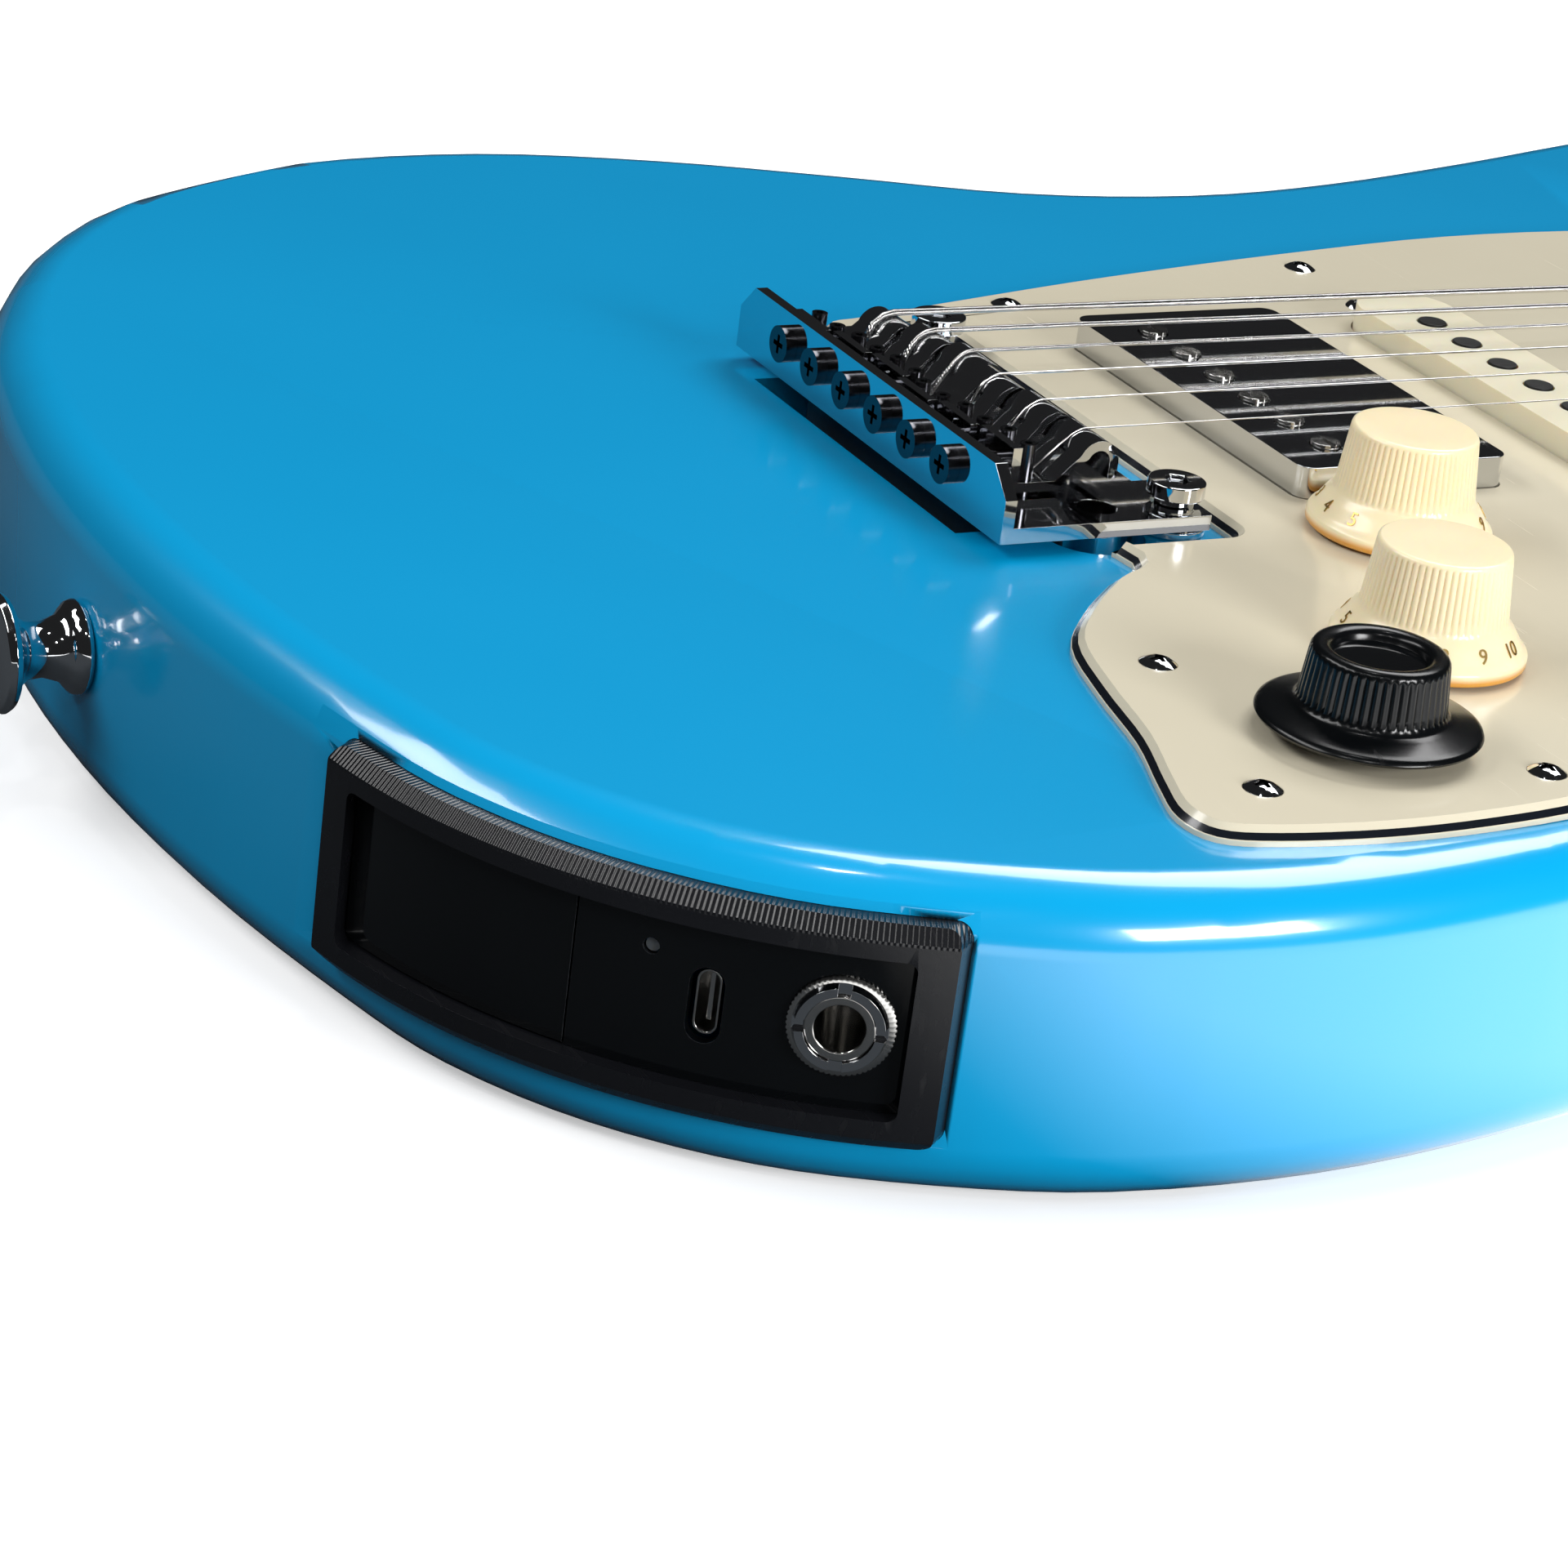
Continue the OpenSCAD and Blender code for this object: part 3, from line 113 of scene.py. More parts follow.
def surface_group():
    """Slow mottling, fine grit and hair scratches, as masks from 0 to 1 and a height."""
    group, start, end = group_of(
        "fine surface",
        [("Vector", "NodeSocketVector", None), ("Mottle Scale", "NodeSocketFloat", 40.0),
         ("Grit Scale", "NodeSocketFloat", 900.0)],
        [("Mottle", "NodeSocketFloat"), ("Grit", "NodeSocketFloat"), ("Scratches", "NodeSocketFloat")],
    )
    vector = start.outputs["Vector"]
    mottle = add(group, "ShaderNodeTexNoise", {"Vector": vector, "Scale": start.outputs["Mottle Scale"], "Detail": 3.0})
    grit = add(group, "ShaderNodeTexNoise", {"Vector": vector, "Scale": start.outputs["Grit Scale"], "Detail": 4.0})
    stretched = add(group, "ShaderNodeMapping", {"Vector": vector, "Rotation": (0.1, 0.2, 0.7), "Scale": (40.0, 900.0, 300.0)})
    hair = add(group, "ShaderNodeTexNoise", {"Vector": stretched.outputs[0], "Scale": 1.0, "Detail": 2.0})
    scratch = add(group, "ShaderNodeMapRange", {"Value": hair.outputs["Fac"], "From Min": 0.62, "From Max": 0.8})
    group.links.new(mottle.outputs["Fac"], end.inputs["Mottle"])
    group.links.new(grit.outputs["Fac"], end.inputs["Grit"])
    group.links.new(scratch.outputs[0], end.inputs["Scratches"])
    return group


def wood_group():
    """Long grain lines that run along Y, with slow bands across them."""
    group, start, end = group_of(
        "long grain",
        [("Vector", "NodeSocketVector", None), ("Line Scale", "NodeSocketFloat", 260.0), ("Stretch", "NodeSocketFloat", 0.03)],
        [("Grain", "NodeSocketFloat"), ("Bands", "NodeSocketFloat")],
    )
    parts = add(group, "ShaderNodeSeparateXYZ", {"Vector": start.outputs["Vector"]})
    slow = maths(group, "MULTIPLY", parts.outputs["Y"], start.outputs["Stretch"])
    along = add(group, "ShaderNodeCombineXYZ", {"X": parts.outputs["X"], "Y": slow, "Z": parts.outputs["Z"]})
    grain = add(group, "ShaderNodeTexNoise",
                {"Vector": along.outputs[0], "Scale": start.outputs["Line Scale"], "Detail": 6.0, "Roughness": 0.65})
    bands = add(group, "ShaderNodeTexNoise", {"Vector": along.outputs[0], "Scale": 55.0, "Detail": 2.0})
    group.links.new(grain.outputs["Fac"], end.inputs["Grain"])
    group.links.new(bands.outputs["Fac"], end.inputs["Bands"])
    return group


SURFACE = surface_group()
WOOD = wood_group()


def shader(name, color, roughness=0.4, metallic=0.0, **sockets):
    """A material with a Principled BSDF, Object coordinates and the fine-surface masks ready to use."""
    material = bpy.data.materials.new(name)
    material.use_nodes = True
    material.diffuse_color = (*color, 1)
    tree = material.node_tree
    bsdf = tree.nodes["Principled BSDF"]
    bsdf.inputs["Base Color"].default_value = (*color, 1)
    bsdf.inputs["Roughness"].default_value = roughness
    bsdf.inputs["Metallic"].default_value = metallic
    for key, value in sockets.items():
        bsdf.inputs[key.replace("_", " ")].default_value = value
    place = tree.nodes.new("ShaderNodeTexCoord").outputs["Object"]
    masks = tree.nodes.new("ShaderNodeGroup")
    masks.node_tree = SURFACE
    tree.links.new(place, masks.inputs["Vector"])
    return material, tree, bsdf, place, masks


def vary(tree, bsdf, mask, low, high, socket="Roughness"):
    """A float socket that follows a mask between low and high."""
    ranged = add(tree, "ShaderNodeMapRange", {"Value": mask, "To Min": low, "To Max": high})
    tree.links.new(ranged.outputs[0], bsdf.inputs[socket])


def tint(tree, bsdf, mask, dark, light):
    tree.links.new(mixed(tree, mask, (*dark, 1), (*light, 1)), bsdf.inputs["Base Color"])


def relief(tree, bsdf, height, distance, strength=1.0, normal=None):
    """Bump from a height mask; distance is its depth in metres."""
    bump = add(tree, "ShaderNodeBump", {"Height": height, "Distance": distance, "Strength": strength})
    if normal is not None:
        tree.links.new(normal, bump.inputs["Normal"])
    tree.links.new(bump.outputs[0], bsdf.inputs["Normal"])
    return bump.outputs[0]


def sky_lacquer():
    material, tree, bsdf, place, masks = shader(
        "sky_lacquer", (0.0, 0.36, 0.70), 0.3, Coat_Weight=1.0, Coat_Roughness=0.09, Coat_IOR=1.5)
    masks.inputs["Mottle Scale"].default_value = 9.0
    masks.inputs["Grit Scale"].default_value = 160.0
    tint(tree, bsdf, masks.outputs["Mottle"], (0.0, 0.33, 0.66), (0.0, 0.36, 0.71))
    vary(tree, bsdf, masks.outputs["Mottle"], 0.18, 0.26)
    relief(tree, bsdf, masks.outputs["Grit"], 0.00002, 0.25)
    return material


def ply_sheet():
    """Cream, dark and cream layers by height, so that a bevelled edge shows them."""
    material, tree, bsdf, place, masks = shader("ply_sheet", (0.66, 0.6, 0.44), 0.24, Coat_Weight=0.4, Coat_Roughness=0.12)
    z = add(tree, "ShaderNodeSeparateXYZ", {"Vector": place}).outputs["Z"]
    layer = add(tree, "ShaderNodeMapRange", {"Value": z, "From Min": GUARD_LOW.z, "From Max": GUARD_HIGH.z}).outputs[0]
    dark = maths(tree, "MULTIPLY", maths(tree, "GREATER_THAN", layer, 0.34), maths(tree, "LESS_THAN", layer, 0.66))
    masks.inputs["Mottle Scale"].default_value = 14.0
    cream = mixed(tree, masks.outputs["Mottle"], (0.63, 0.57, 0.43, 1), (0.70, 0.645, 0.5, 1))
    tree.links.new(mixed(tree, dark, cream, (0.006, 0.008, 0.012, 1)), bsdf.inputs["Base Color"])
    vary(tree, bsdf, masks.outputs["Scratches"], 0.2, 0.3)
    relief(tree, bsdf, masks.outputs["Grit"], 0.00001, 0.15)
    return material


def aged_cream(name, light, dark, roughness):
    material, tree, bsdf, place, masks = shader(
        name, light, roughness, Coat_Weight=0.3, Coat_Roughness=0.15, Subsurface_Weight=0.25,
        Subsurface_Radius=(0.004, 0.002, 0.0006), Subsurface_Scale=1.0)
    tint(tree, bsdf, masks.outputs["Mottle"], dark, light)
    vary(tree, bsdf, masks.outputs["Scratches"], roughness, roughness + 0.12)
    relief(tree, bsdf, masks.outputs["Grit"], 0.00002, 0.3)
    return material


def knob_resin():
    """Cream resin that turns amber at the thin rim of the skirt."""
    light, dark = (0.97, 0.83, 0.57), (0.94, 0.78, 0.5)
    material = aged_cream("knob_cream", light, dark, 0.3)
    tree = material.node_tree
    bsdf = tree.nodes["Principled BSDF"]
    cream = bsdf.inputs["Base Color"].links[0].from_socket
    z = add(tree, "ShaderNodeSeparateXYZ", {"Vector": tree.nodes.new("ShaderNodeTexCoord").outputs["Object"]}).outputs["Z"]
    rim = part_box("tone_knob")[0].z
    above = add(tree, "ShaderNodeMapRange", {"Value": z, "From Min": rim + 0.6 * MM, "From Max": rim + 1.5 * MM}).outputs[0]
    tree.links.new(mixed(tree, above, (0.72, 0.33, 0.05, 1), cream), bsdf.inputs["Base Color"])
    return material


def metal(name, dark, light, smooth, worn, hair=0.2):
    """Plated or bare metal: mottled colour, and scratches that scatter the gloss."""
    material, tree, bsdf, place, masks = shader(name, light, smooth, 1.0)
    tint(tree, bsdf, masks.outputs["Mottle"], dark, light)
    vary(tree, bsdf, masks.outputs["Scratches"], smooth, worn)
    relief(tree, bsdf, masks.outputs["Grit"], 0.00001, hair)
    return material


def black_moulded(name, smooth, worn, grit, coat=0.0):
    material, tree, bsdf, place, masks = shader(
        name, (0.002, 0.0023, 0.003), smooth, Coat_Weight=coat, Coat_Roughness=0.05, Specular_IOR_Level=0.35)
    tint(tree, bsdf, masks.outputs["Mottle"], (0.0012, 0.0016, 0.002), (0.0028, 0.0035, 0.0042))
    vary(tree, bsdf, masks.outputs["Scratches"], smooth, worn)
    relief(tree, bsdf, masks.outputs["Grit"], 0.00003, grit)
    return material


def ridged_black():
    """The pod frame's plastic, with fine steps across its upper bevel."""
    material, tree, bsdf, place, masks = shader("ridged_black", (0.005, 0.0055, 0.007), 0.3)
    tint(tree, bsdf, masks.outputs["Mottle"], (0.004, 0.0045, 0.006), (0.007, 0.0075, 0.0095))
    moved = add(tree, "ShaderNodeMapping", {"Vector": place, "Location": -POD_CENTRE}).outputs[0]
    parts = add(tree, "ShaderNodeSeparateXYZ", {"Vector": moved})
    turn = maths(tree, "ARCTAN2", parts.outputs["Y"], parts.outputs["X"])
    step_pitch = 0.7 * MM
    wave = maths(tree, "SINE", maths(tree, "MULTIPLY", turn, 2 * math.pi * POD_RADIUS / step_pitch))
    high = maths(tree, "GREATER_THAN", parts.outputs["Z"], POD_FRAME_HIGH.z - 2.2 * MM)
    steps = maths(tree, "MULTIPLY", wave, high)
    vary(tree, bsdf, masks.outputs["Scratches"], 0.27, 0.42)
    fine = relief(tree, bsdf, masks.outputs["Grit"], 0.00002, 0.4)
    relief(tree, bsdf, steps, 0.00006, 0.8, fine)
    return material


def maple():
    material, tree, bsdf, place, masks = shader("maple", (0.62, 0.4, 0.17), 0.3, Coat_Weight=0.4, Coat_Roughness=0.2)
    grain = tree.nodes.new("ShaderNodeGroup")
    grain.node_tree = WOOD
    tree.links.new(place, grain.inputs["Vector"])
    base = mixed(tree, grain.outputs["Bands"], (0.56, 0.34, 0.13, 1), (0.74, 0.5, 0.24, 1))
    lines = add(tree, "ShaderNodeMapRange", {"Value": grain.outputs["Grain"], "From Min": 0.5, "From Max": 0.75}).outputs[0]
    tree.links.new(mixed(tree, lines, base, (0.4, 0.21, 0.07, 1)), bsdf.inputs["Base Color"])
    vary(tree, bsdf, masks.outputs["Mottle"], 0.26, 0.38)
    relief(tree, bsdf, grain.outputs["Grain"], 0.00003, 0.3)
    return material


def fingerboard_wood():
    material, tree, bsdf, place, masks = shader("fingerboard_wood", (0.09, 0.045, 0.025), 0.5)
    grain = tree.nodes.new("ShaderNodeGroup")
    grain.node_tree = WOOD
    tree.links.new(place, grain.inputs["Vector"])
    grain.inputs["Line Scale"].default_value = 420.0
    grain.inputs["Stretch"].default_value = 0.06
    base = mixed(tree, grain.outputs["Bands"], (0.055, 0.026, 0.015, 1), (0.15, 0.075, 0.04, 1))
    pores = add(tree, "ShaderNodeMapRange", {"Value": grain.outputs["Grain"], "From Min": 0.55, "From Max": 0.68}).outputs[0]
    tree.links.new(mixed(tree, pores, base, (0.02, 0.01, 0.006, 1)), bsdf.inputs["Base Color"])
    vary(tree, bsdf, grain.outputs["Grain"], 0.42, 0.62)
    relief(tree, bsdf, grain.outputs["Grain"], 0.00008, 0.5)
    return material


def wound_wire():
    """Steel strings; the turns of the winding show along Y."""
    material, tree, bsdf, place, masks = shader("wound_wire", (0.6, 0.59, 0.58), 0.25, 1.0)
    parts = add(tree, "ShaderNodeSeparateXYZ", {"Vector": place})
    low_strings = maths(tree, "LESS_THAN", parts.outputs["X"], 0.0)
    turns = maths(tree, "SINE", maths(tree, "MULTIPLY", parts.outputs["Y"], 2 * math.pi / (0.3 * MM)))
    tint(tree, bsdf, masks.outputs["Mottle"], (0.5, 0.49, 0.48), (0.68, 0.67, 0.66))
    vary(tree, bsdf, masks.outputs["Scratches"], 0.2, 0.35)
    relief(tree, bsdf, maths(tree, "MULTIPLY", turns, low_strings), 0.00005, 0.5)
    return material


def pearl():
    material, tree, bsdf, place, masks = shader("pearl_dots", (0.75, 0.73, 0.68), 0.2, Coat_Weight=0.6, Coat_Roughness=0.1)
    masks.inputs["Mottle Scale"].default_value = 300.0
    tint(tree, bsdf, masks.outputs["Mottle"], (0.6, 0.6, 0.58), (0.9, 0.86, 0.8))
    vary(tree, bsdf, masks.outputs["Mottle"], 0.15, 0.3)
    return material


MATERIALS = {
    "body_wood": sky_lacquer(),
    "guard_ply": ply_sheet(),
    "knob_cream": knob_resin(),
    "cover_cream": aged_cream("cover_cream", (0.82, 0.76, 0.58), (0.76, 0.68, 0.5), 0.35),
    "black_plastic": black_moulded("black_plastic", 0.3, 0.42, 0.5),
    "smoke_lens": black_moulded("smoke_lens", 0.05, 0.12, 0.0, 1.0),
    "led_white": aged_cream("led_white", (0.1, 0.11, 0.12), (0.06, 0.07, 0.08), 0.2),
    "chrome": metal("chrome", (0.62, 0.63, 0.65), (0.7, 0.71, 0.73), 0.05, 0.14, 0.05),
    "nickel": metal("nickel", (0.5, 0.49, 0.47), (0.62, 0.61, 0.59), 0.16, 0.3),
    "steel": metal("steel", (0.36, 0.36, 0.37), (0.46, 0.46, 0.47), 0.32, 0.5, 0.5),
    "string_wire": wound_wire(),
    "maple": maple(),
    "rosewood": fingerboard_wood(),
    "bone": aged_cream("bone", (0.82, 0.77, 0.62), (0.74, 0.68, 0.52), 0.35),
    "dot_pearl": pearl(),
    "coil_black": black_moulded("coil_black", 0.45, 0.6, 0.8),
}
RIDGED_BLACK = ridged_black()
PANEL_BLACK = black_moulded("panel_black", 0.1, 0.2, 0.1, 0.2)
GRIP_BLACK = black_moulded("grip_black", 0.22, 0.34, 0.3)
# Lighter grey for the bevelled rims of the port panel and battery door: a painted highlight that draws their edges as
# thin bright lines.
PAINTED_EDGE_HIGHLIGHT = black_moulded("painted_edge_highlight", 0.15, 0.25, 0.0)
tint(PAINTED_EDGE_HIGHLIGHT.node_tree, PAINTED_EDGE_HIGHLIGHT.node_tree.nodes["Principled BSDF"],
     next(n for n in PAINTED_EDGE_HIGHLIGHT.node_tree.nodes if n.type == "GROUP").outputs["Mottle"], (0.1, 0.11, 0.12), (0.22, 0.24, 0.26))
DARK_SCREW = metal("dark_screw", (0.05, 0.05, 0.055), (0.09, 0.09, 0.1), 0.2, 0.35)
NUMERAL_GOLD = metal("numeral_gold", (0.5, 0.33, 0.1), (0.62, 0.43, 0.16), 0.35, 0.5)


# ---------------------------------------------------------------- pieces

def smooth_shaded(obj, angle_deg=35.0):
    """Soft shading with the flat faces kept flat, and edges over the angle kept sharp."""
    obj.data.shade_smooth()
    obj.data.set_sharp_from_angle(angle=math.radians(angle_deg))
    weigh = obj.modifiers.new("flat faces", "WEIGHTED_NORMAL")
    weigh.keep_sharp = True
    weigh.weight = 50


def piece_from(bm, name, node, material=None, angle_deg=35.0):
    """Turns a bmesh into a smooth-shaded piece that stands for a CAD node, or goes with it, with that node's material
    unless another is given.
    """
    mesh = bpy.data.meshes.new(name)
    bm.to_mesh(mesh)
    bm.free()
    obj = bpy.data.objects.new(name, mesh)
    bpy.context.scene.collection.objects.link(obj)
    mesh.materials.append(material or MATERIALS[SLOT_OF[node]])
    smooth_shaded(obj, angle_deg)
    return obj


def stand_for(obj, node):
    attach(obj, BODY_OF[node])
    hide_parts(node)
    return obj


def merged_copy(node):
    """A bmesh of a CAD node with its loose triangles joined."""
    bm = bmesh.new()
    bm.from_mesh(CAD[node].data)
    bmesh.ops.remove_doubles(bm, verts=bm.verts, dist=0.002 * MM)
    level = [e for e in bm.edges if e.link_faces and spread(e) < 0.002 * MM]
    bmesh.ops.dissolve_limit(bm, angle_limit=math.pi, verts=[], edges=level)
    bmesh.ops.dissolve_limit(bm, angle_limit=math.radians(0.1), verts=bm.verts, edges=bm.edges)
    return bm


def spread(edge):
    """How far the faces at an edge reach up and down."""
    heights = [v.co.z for f in edge.link_faces for v in f.verts]
    return max(heights) - min(heights)


def softened(node, width_mm, segments=2, material=None, angle_deg=35.0, edge_highlight_material=None):
    """A CAD node's own shape with its sharp edges rounded; a given edge material paints a highlight on the rounded
    faces.
    """
    obj = piece_from(merged_copy(node), node + "_finish", node, material, angle_deg)
    # The bevel faces get the second material: a painted highlight along the edges.
    if edge_highlight_material:
        obj.data.materials.append(edge_highlight_material)
    if width_mm:
        bevel = obj.modifiers.new("rounded edges", "BEVEL")
        bevel.width = width_mm * MM
        bevel.segments = segments
        bevel.limit_method = "ANGLE"
        bevel.angle_limit = math.radians(angle_deg)
        bevel.harden_normals = True
        bevel.material = 1 if edge_highlight_material else -1
        obj.modifiers.move(1, 0)
    return stand_for(obj, node)


def turned(profile_mm, centre, steps):
    """A closed solid of revolution about a vertical axis from (radius, height) points."""
    bm = bmesh.new()
    verts = [bm.verts.new((centre.x + r * MM, centre.y, centre.z + z * MM)) for r, z in profile_mm]
    edges = [bm.edges.new(pair) for pair in zip(verts, verts[1:])]
    bmesh.ops.spin(bm, geom=verts + edges, cent=centre, axis=UP, steps=steps, angle=2 * math.pi, use_merge=True)
    bmesh.ops.remove_doubles(bm, verts=bm.verts, dist=0.001 * MM)
    bmesh.ops.recalc_face_normals(bm, faces=bm.faces)
    return bm


def cut_ribs(bm, centre, steps, per_rib, low, high, inner_r, depth_mm):
    """Pulls every per_rib-th line of a turned wall inwards between two heights."""
    for v in bm.verts:
        out = Vector((v.co.x - centre.x, v.co.y - centre.y, 0))
        line = round(math.atan2(out.y, out.x) / (2 * math.pi) * steps) % per_rib
        if low * MM < v.co.z - centre.z < high * MM and out.length > inner_r * MM and line == 0:
            v.co -= out.normalized() * depth_mm * MM


def knob_centre(node):
    low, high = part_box(node)
    return Vector(((low.x + high.x) / 2, (low.y + high.y) / 2, low.z)), (high.x - low.x) / 2 / MM, (high.z - low.z) / MM


def rows_between(low, high, count):
    """Points along a straight stretch of a profile, ends included."""
    return [tuple(a + (b - a) * i / count for a, b in zip(low, high)) for i in range(count + 1)]


def numerals(centre, radius_mm, height_mm, tilt_deg, first_deg, name, node):
    """Gold numbers 0 to 10 round a knob's skirt."""
    bm = bmesh.new()
    for number in range(11):
        text = bpy.data.curves.new("numeral", "FONT")
        text.body = str(number)
        text.size = 3.1 * MM
        text.extrude = 0.05 * MM
        text.resolution_u = 3
        text.align_x = "CENTER"
        text.align_y = "CENTER"
        holder = bpy.data.objects.new("numeral", text)
        bpy.context.scene.collection.objects.link(holder)
        bpy.context.view_layer.update()
        flat = bpy.data.meshes.new_from_object(holder.evaluated_get(bpy.context.evaluated_depsgraph_get()))
        turn = Matrix.Rotation(math.radians(first_deg + number * 28), 4, "Z")
        stand = Matrix.Rotation(math.radians(90), 4, "Z") @ Matrix.Rotation(math.radians(tilt_deg), 4, "X")
        out = Matrix.Translation((radius_mm * MM, 0, height_mm * MM))
        flat.transform(Matrix.Translation(centre) @ turn @ out @ stand)
        bm.from_mesh(flat)
        bpy.data.objects.remove(holder)
        bpy.data.curves.remove(text)
        bpy.data.meshes.remove(flat)
    bmesh.ops.remove_doubles(bm, verts=bm.verts, dist=0.002 * MM)
    obj = piece_from(bm, name, node, NUMERAL_GOLD, 25)
    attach(obj, BODY_OF[node])


def cream_knob(node, first_deg):
    """Ribbed grip over a sloping skirt with numbers."""
    centre, skirt, height = knob_centre(node)
    ribs, per_rib = 64, 4
    grip_top, grip_base = 9.55, 10.5
    profile = [(0, 4.6), (8.6, 4.6), (8.6, 2.4), (skirt - 1.6, 0.05), (skirt - 0.3, 0), (skirt, 0.35), (skirt, 1.5),
               (skirt - 0.25, 1.95)]
    profile += rows_between((skirt - 0.7, 2.25), (grip_base + 1.0, 5.0), 4)
    profile += [(grip_base + 0.35, 5.6), (grip_base + 0.1, 6.1)]
    profile += rows_between((grip_base, 6.6), (grip_top + 0.05, height - 1.0), 6)
    profile += [(grip_top, height - 0.6), (grip_top - 0.15, height - 0.2), (grip_top - 0.55, height), (4.2, height - 0.06),
                (0, height - 0.1)]
    steps = ribs * per_rib
    bm = turned(profile, centre, steps)
    cut_ribs(bm, centre, steps, per_rib, 6.3, height - 0.7, 9.0, 0.24)
    stand_for(piece_from(bm, node + "_turned", node, angle_deg=50), node)
    numerals(centre, skirt - 1.6, 3.78, 57, first_deg, node + "_numbers", node)


def dial_knob():
    """Dark knob: coarse ribs, a wide thin skirt and a dished top."""
    centre, skirt, height = knob_centre("dial_knob")
    ribs, per_rib = 48, 4
    profile = [(0, 2.6), (8.4, 2.6), (8.4, 0.6), (skirt - 1.2, 0), (skirt - 0.25, 0.15), (skirt, 0.55), (skirt - 0.2, 1.0)]
    profile += rows_between((skirt - 0.7, 1.25), (10.9, 2.35), 5)
    profile += [(10.5, 2.6), (10.2, 3.1)]
    profile += rows_between((10.12, 3.5), (9.5, height - 1.3), 6)
    profile += [(9.4, height - 0.8), (9.1, height - 0.3), (8.5, height), (7.5, height - 0.05), (6.9, height - 0.3),
                (6.45, height - 0.9), (6.4, height - 1.5)]
    profile += [(5.6, height - 2.1), (3.6, height - 2.5), (0, height - 2.65)]
    steps = ribs * per_rib
    bm = turned(profile, centre, steps)
    cut_ribs(bm, centre, steps, per_rib, 3.3, height - 1.1, 8.8, 0.34)
    obj = piece_from(bm, "dial_knob_turned", "dial_knob", GRIP_BLACK, 50)
    stand_for(obj, "dial_knob")


def bevelled_guard():
    """The sheet's outer edge slopes, so that its three layers show."""
    bm = merged_copy("pickguard")
    top = GUARD_HIGH.z - 0.01 * MM
    rim = []
    for e in bm.edges:
        if len(e.link_faces) != 2 or min(v.co.z for v in e.verts) < top:
            continue
        ups = sorted(abs(f.normal.z) for f in e.link_faces)
        if ups[0] < 0.3 and ups[1] > 0.9:
            rim.append(e)
    loops = edge_loops(rim)
    outer = max(loops, key=lambda loop: sum(e.calc_length() for e in loop))
    bmesh.ops.bevel(bm, geom=outer, offset=1.7 * MM, offset_type="OFFSET", segments=1, profile=0.5, affect="EDGES",
                    clamp_overlap=False, material=-1)
    stand_for(piece_from(bm, "pickguard_sheet", "pickguard", angle_deg=20), "pickguard")


def edge_loops(edges):
    """Groups edges that share vertices."""
    left, loops = set(edges), []
    while left:
        stack, loop = [left.pop()], []
        while stack:
            e = stack.pop()
            loop.append(e)
            for v in e.verts:
                for other in v.link_edges:
                    if other in left:
                        left.remove(other)
                        stack.append(other)
        loops.append(loop)
    return loops


def jack_washer():
    """Knurled ring under the slotted nut."""
    low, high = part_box("jack_nut")
    middle = (low + high) / 2
    out = Vector((middle.x - POD_CENTRE.x, middle.y - POD_CENTRE.y, 0)).normalized()
    profile = [(4.8, 0), (6.7, 0), (6.95, 0.25), (6.9, 0.6), (6.4, 0.8), (4.8, 0.8)]
    steps = 180
    bm = turned(profile + profile[:1], Vector((0, 0, 0)), steps)
    cut_ribs(bm, Vector((0, 0, 0)), steps, 3, 0.1, 0.7, 6.5, 0.16)
    seat = POD_CENTRE + out * (POD_RADIUS + 0.35 * MM) + UP * middle.z
    turn = out.to_track_quat("Z", "Y").to_matrix().to_4x4()
    bmesh.ops.transform(bm, matrix=Matrix.Translation(seat) @ turn, verts=bm.verts)
    obj = piece_from(bm, "jack_washer", "jack_nut", MATERIALS["nickel"], 30)
    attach(obj, BODY_OF["jack_nut"])


def string_set():
    """The strings as a merged, smooth-shaded copy of the CAD strings, fixed in world space."""
    obj = piece_from(merged_copy("strings"), "string_set", "strings", angle_deg=60)
    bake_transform(obj)
    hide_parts("strings")


def spring_coils():
    """Wound springs that stretch between the bridge's block and the claw."""
    low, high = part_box("tremolo_springs")
    wire, turns, steps = 0.6 * MM, 34, 12
    radius = (high.z - low.z) / 2 - wire
    pitch = (high.y - low.y - 2 * wire) / turns
    bm = bmesh.new()
    for x in (-21 * MM, 0, 21 * MM):
        axis = Vector((x, low.y + wire, (low.z + high.z) / 2))
        ring = bmesh.ops.create_circle(bm, cap_ends=False, segments=6, radius=wire)["verts"]
        stand = Matrix.Translation(axis + Vector((radius, 0, 0))) @ Matrix.Rotation(math.radians(90), 4, "X")
        flat = Matrix.Rotation(math.radians(90), 4, "X")
        bmesh.ops.transform(bm, matrix=stand @ flat, verts=ring)
        edges = list({e for v in ring for e in v.link_edges})
        bmesh.ops.spin(bm, geom=ring + edges, cent=axis, axis=(0, 1, 0), dvec=(0, pitch / steps, 0),
                       angle=2 * math.pi * turns, steps=turns * steps)
    bmesh.ops.recalc_face_normals(bm, faces=bm.faces)
    obj = piece_from(bm, "spring_coils", "tremolo_springs", MATERIALS["steel"], 60)
    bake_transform(obj)
    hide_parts("tremolo_springs")


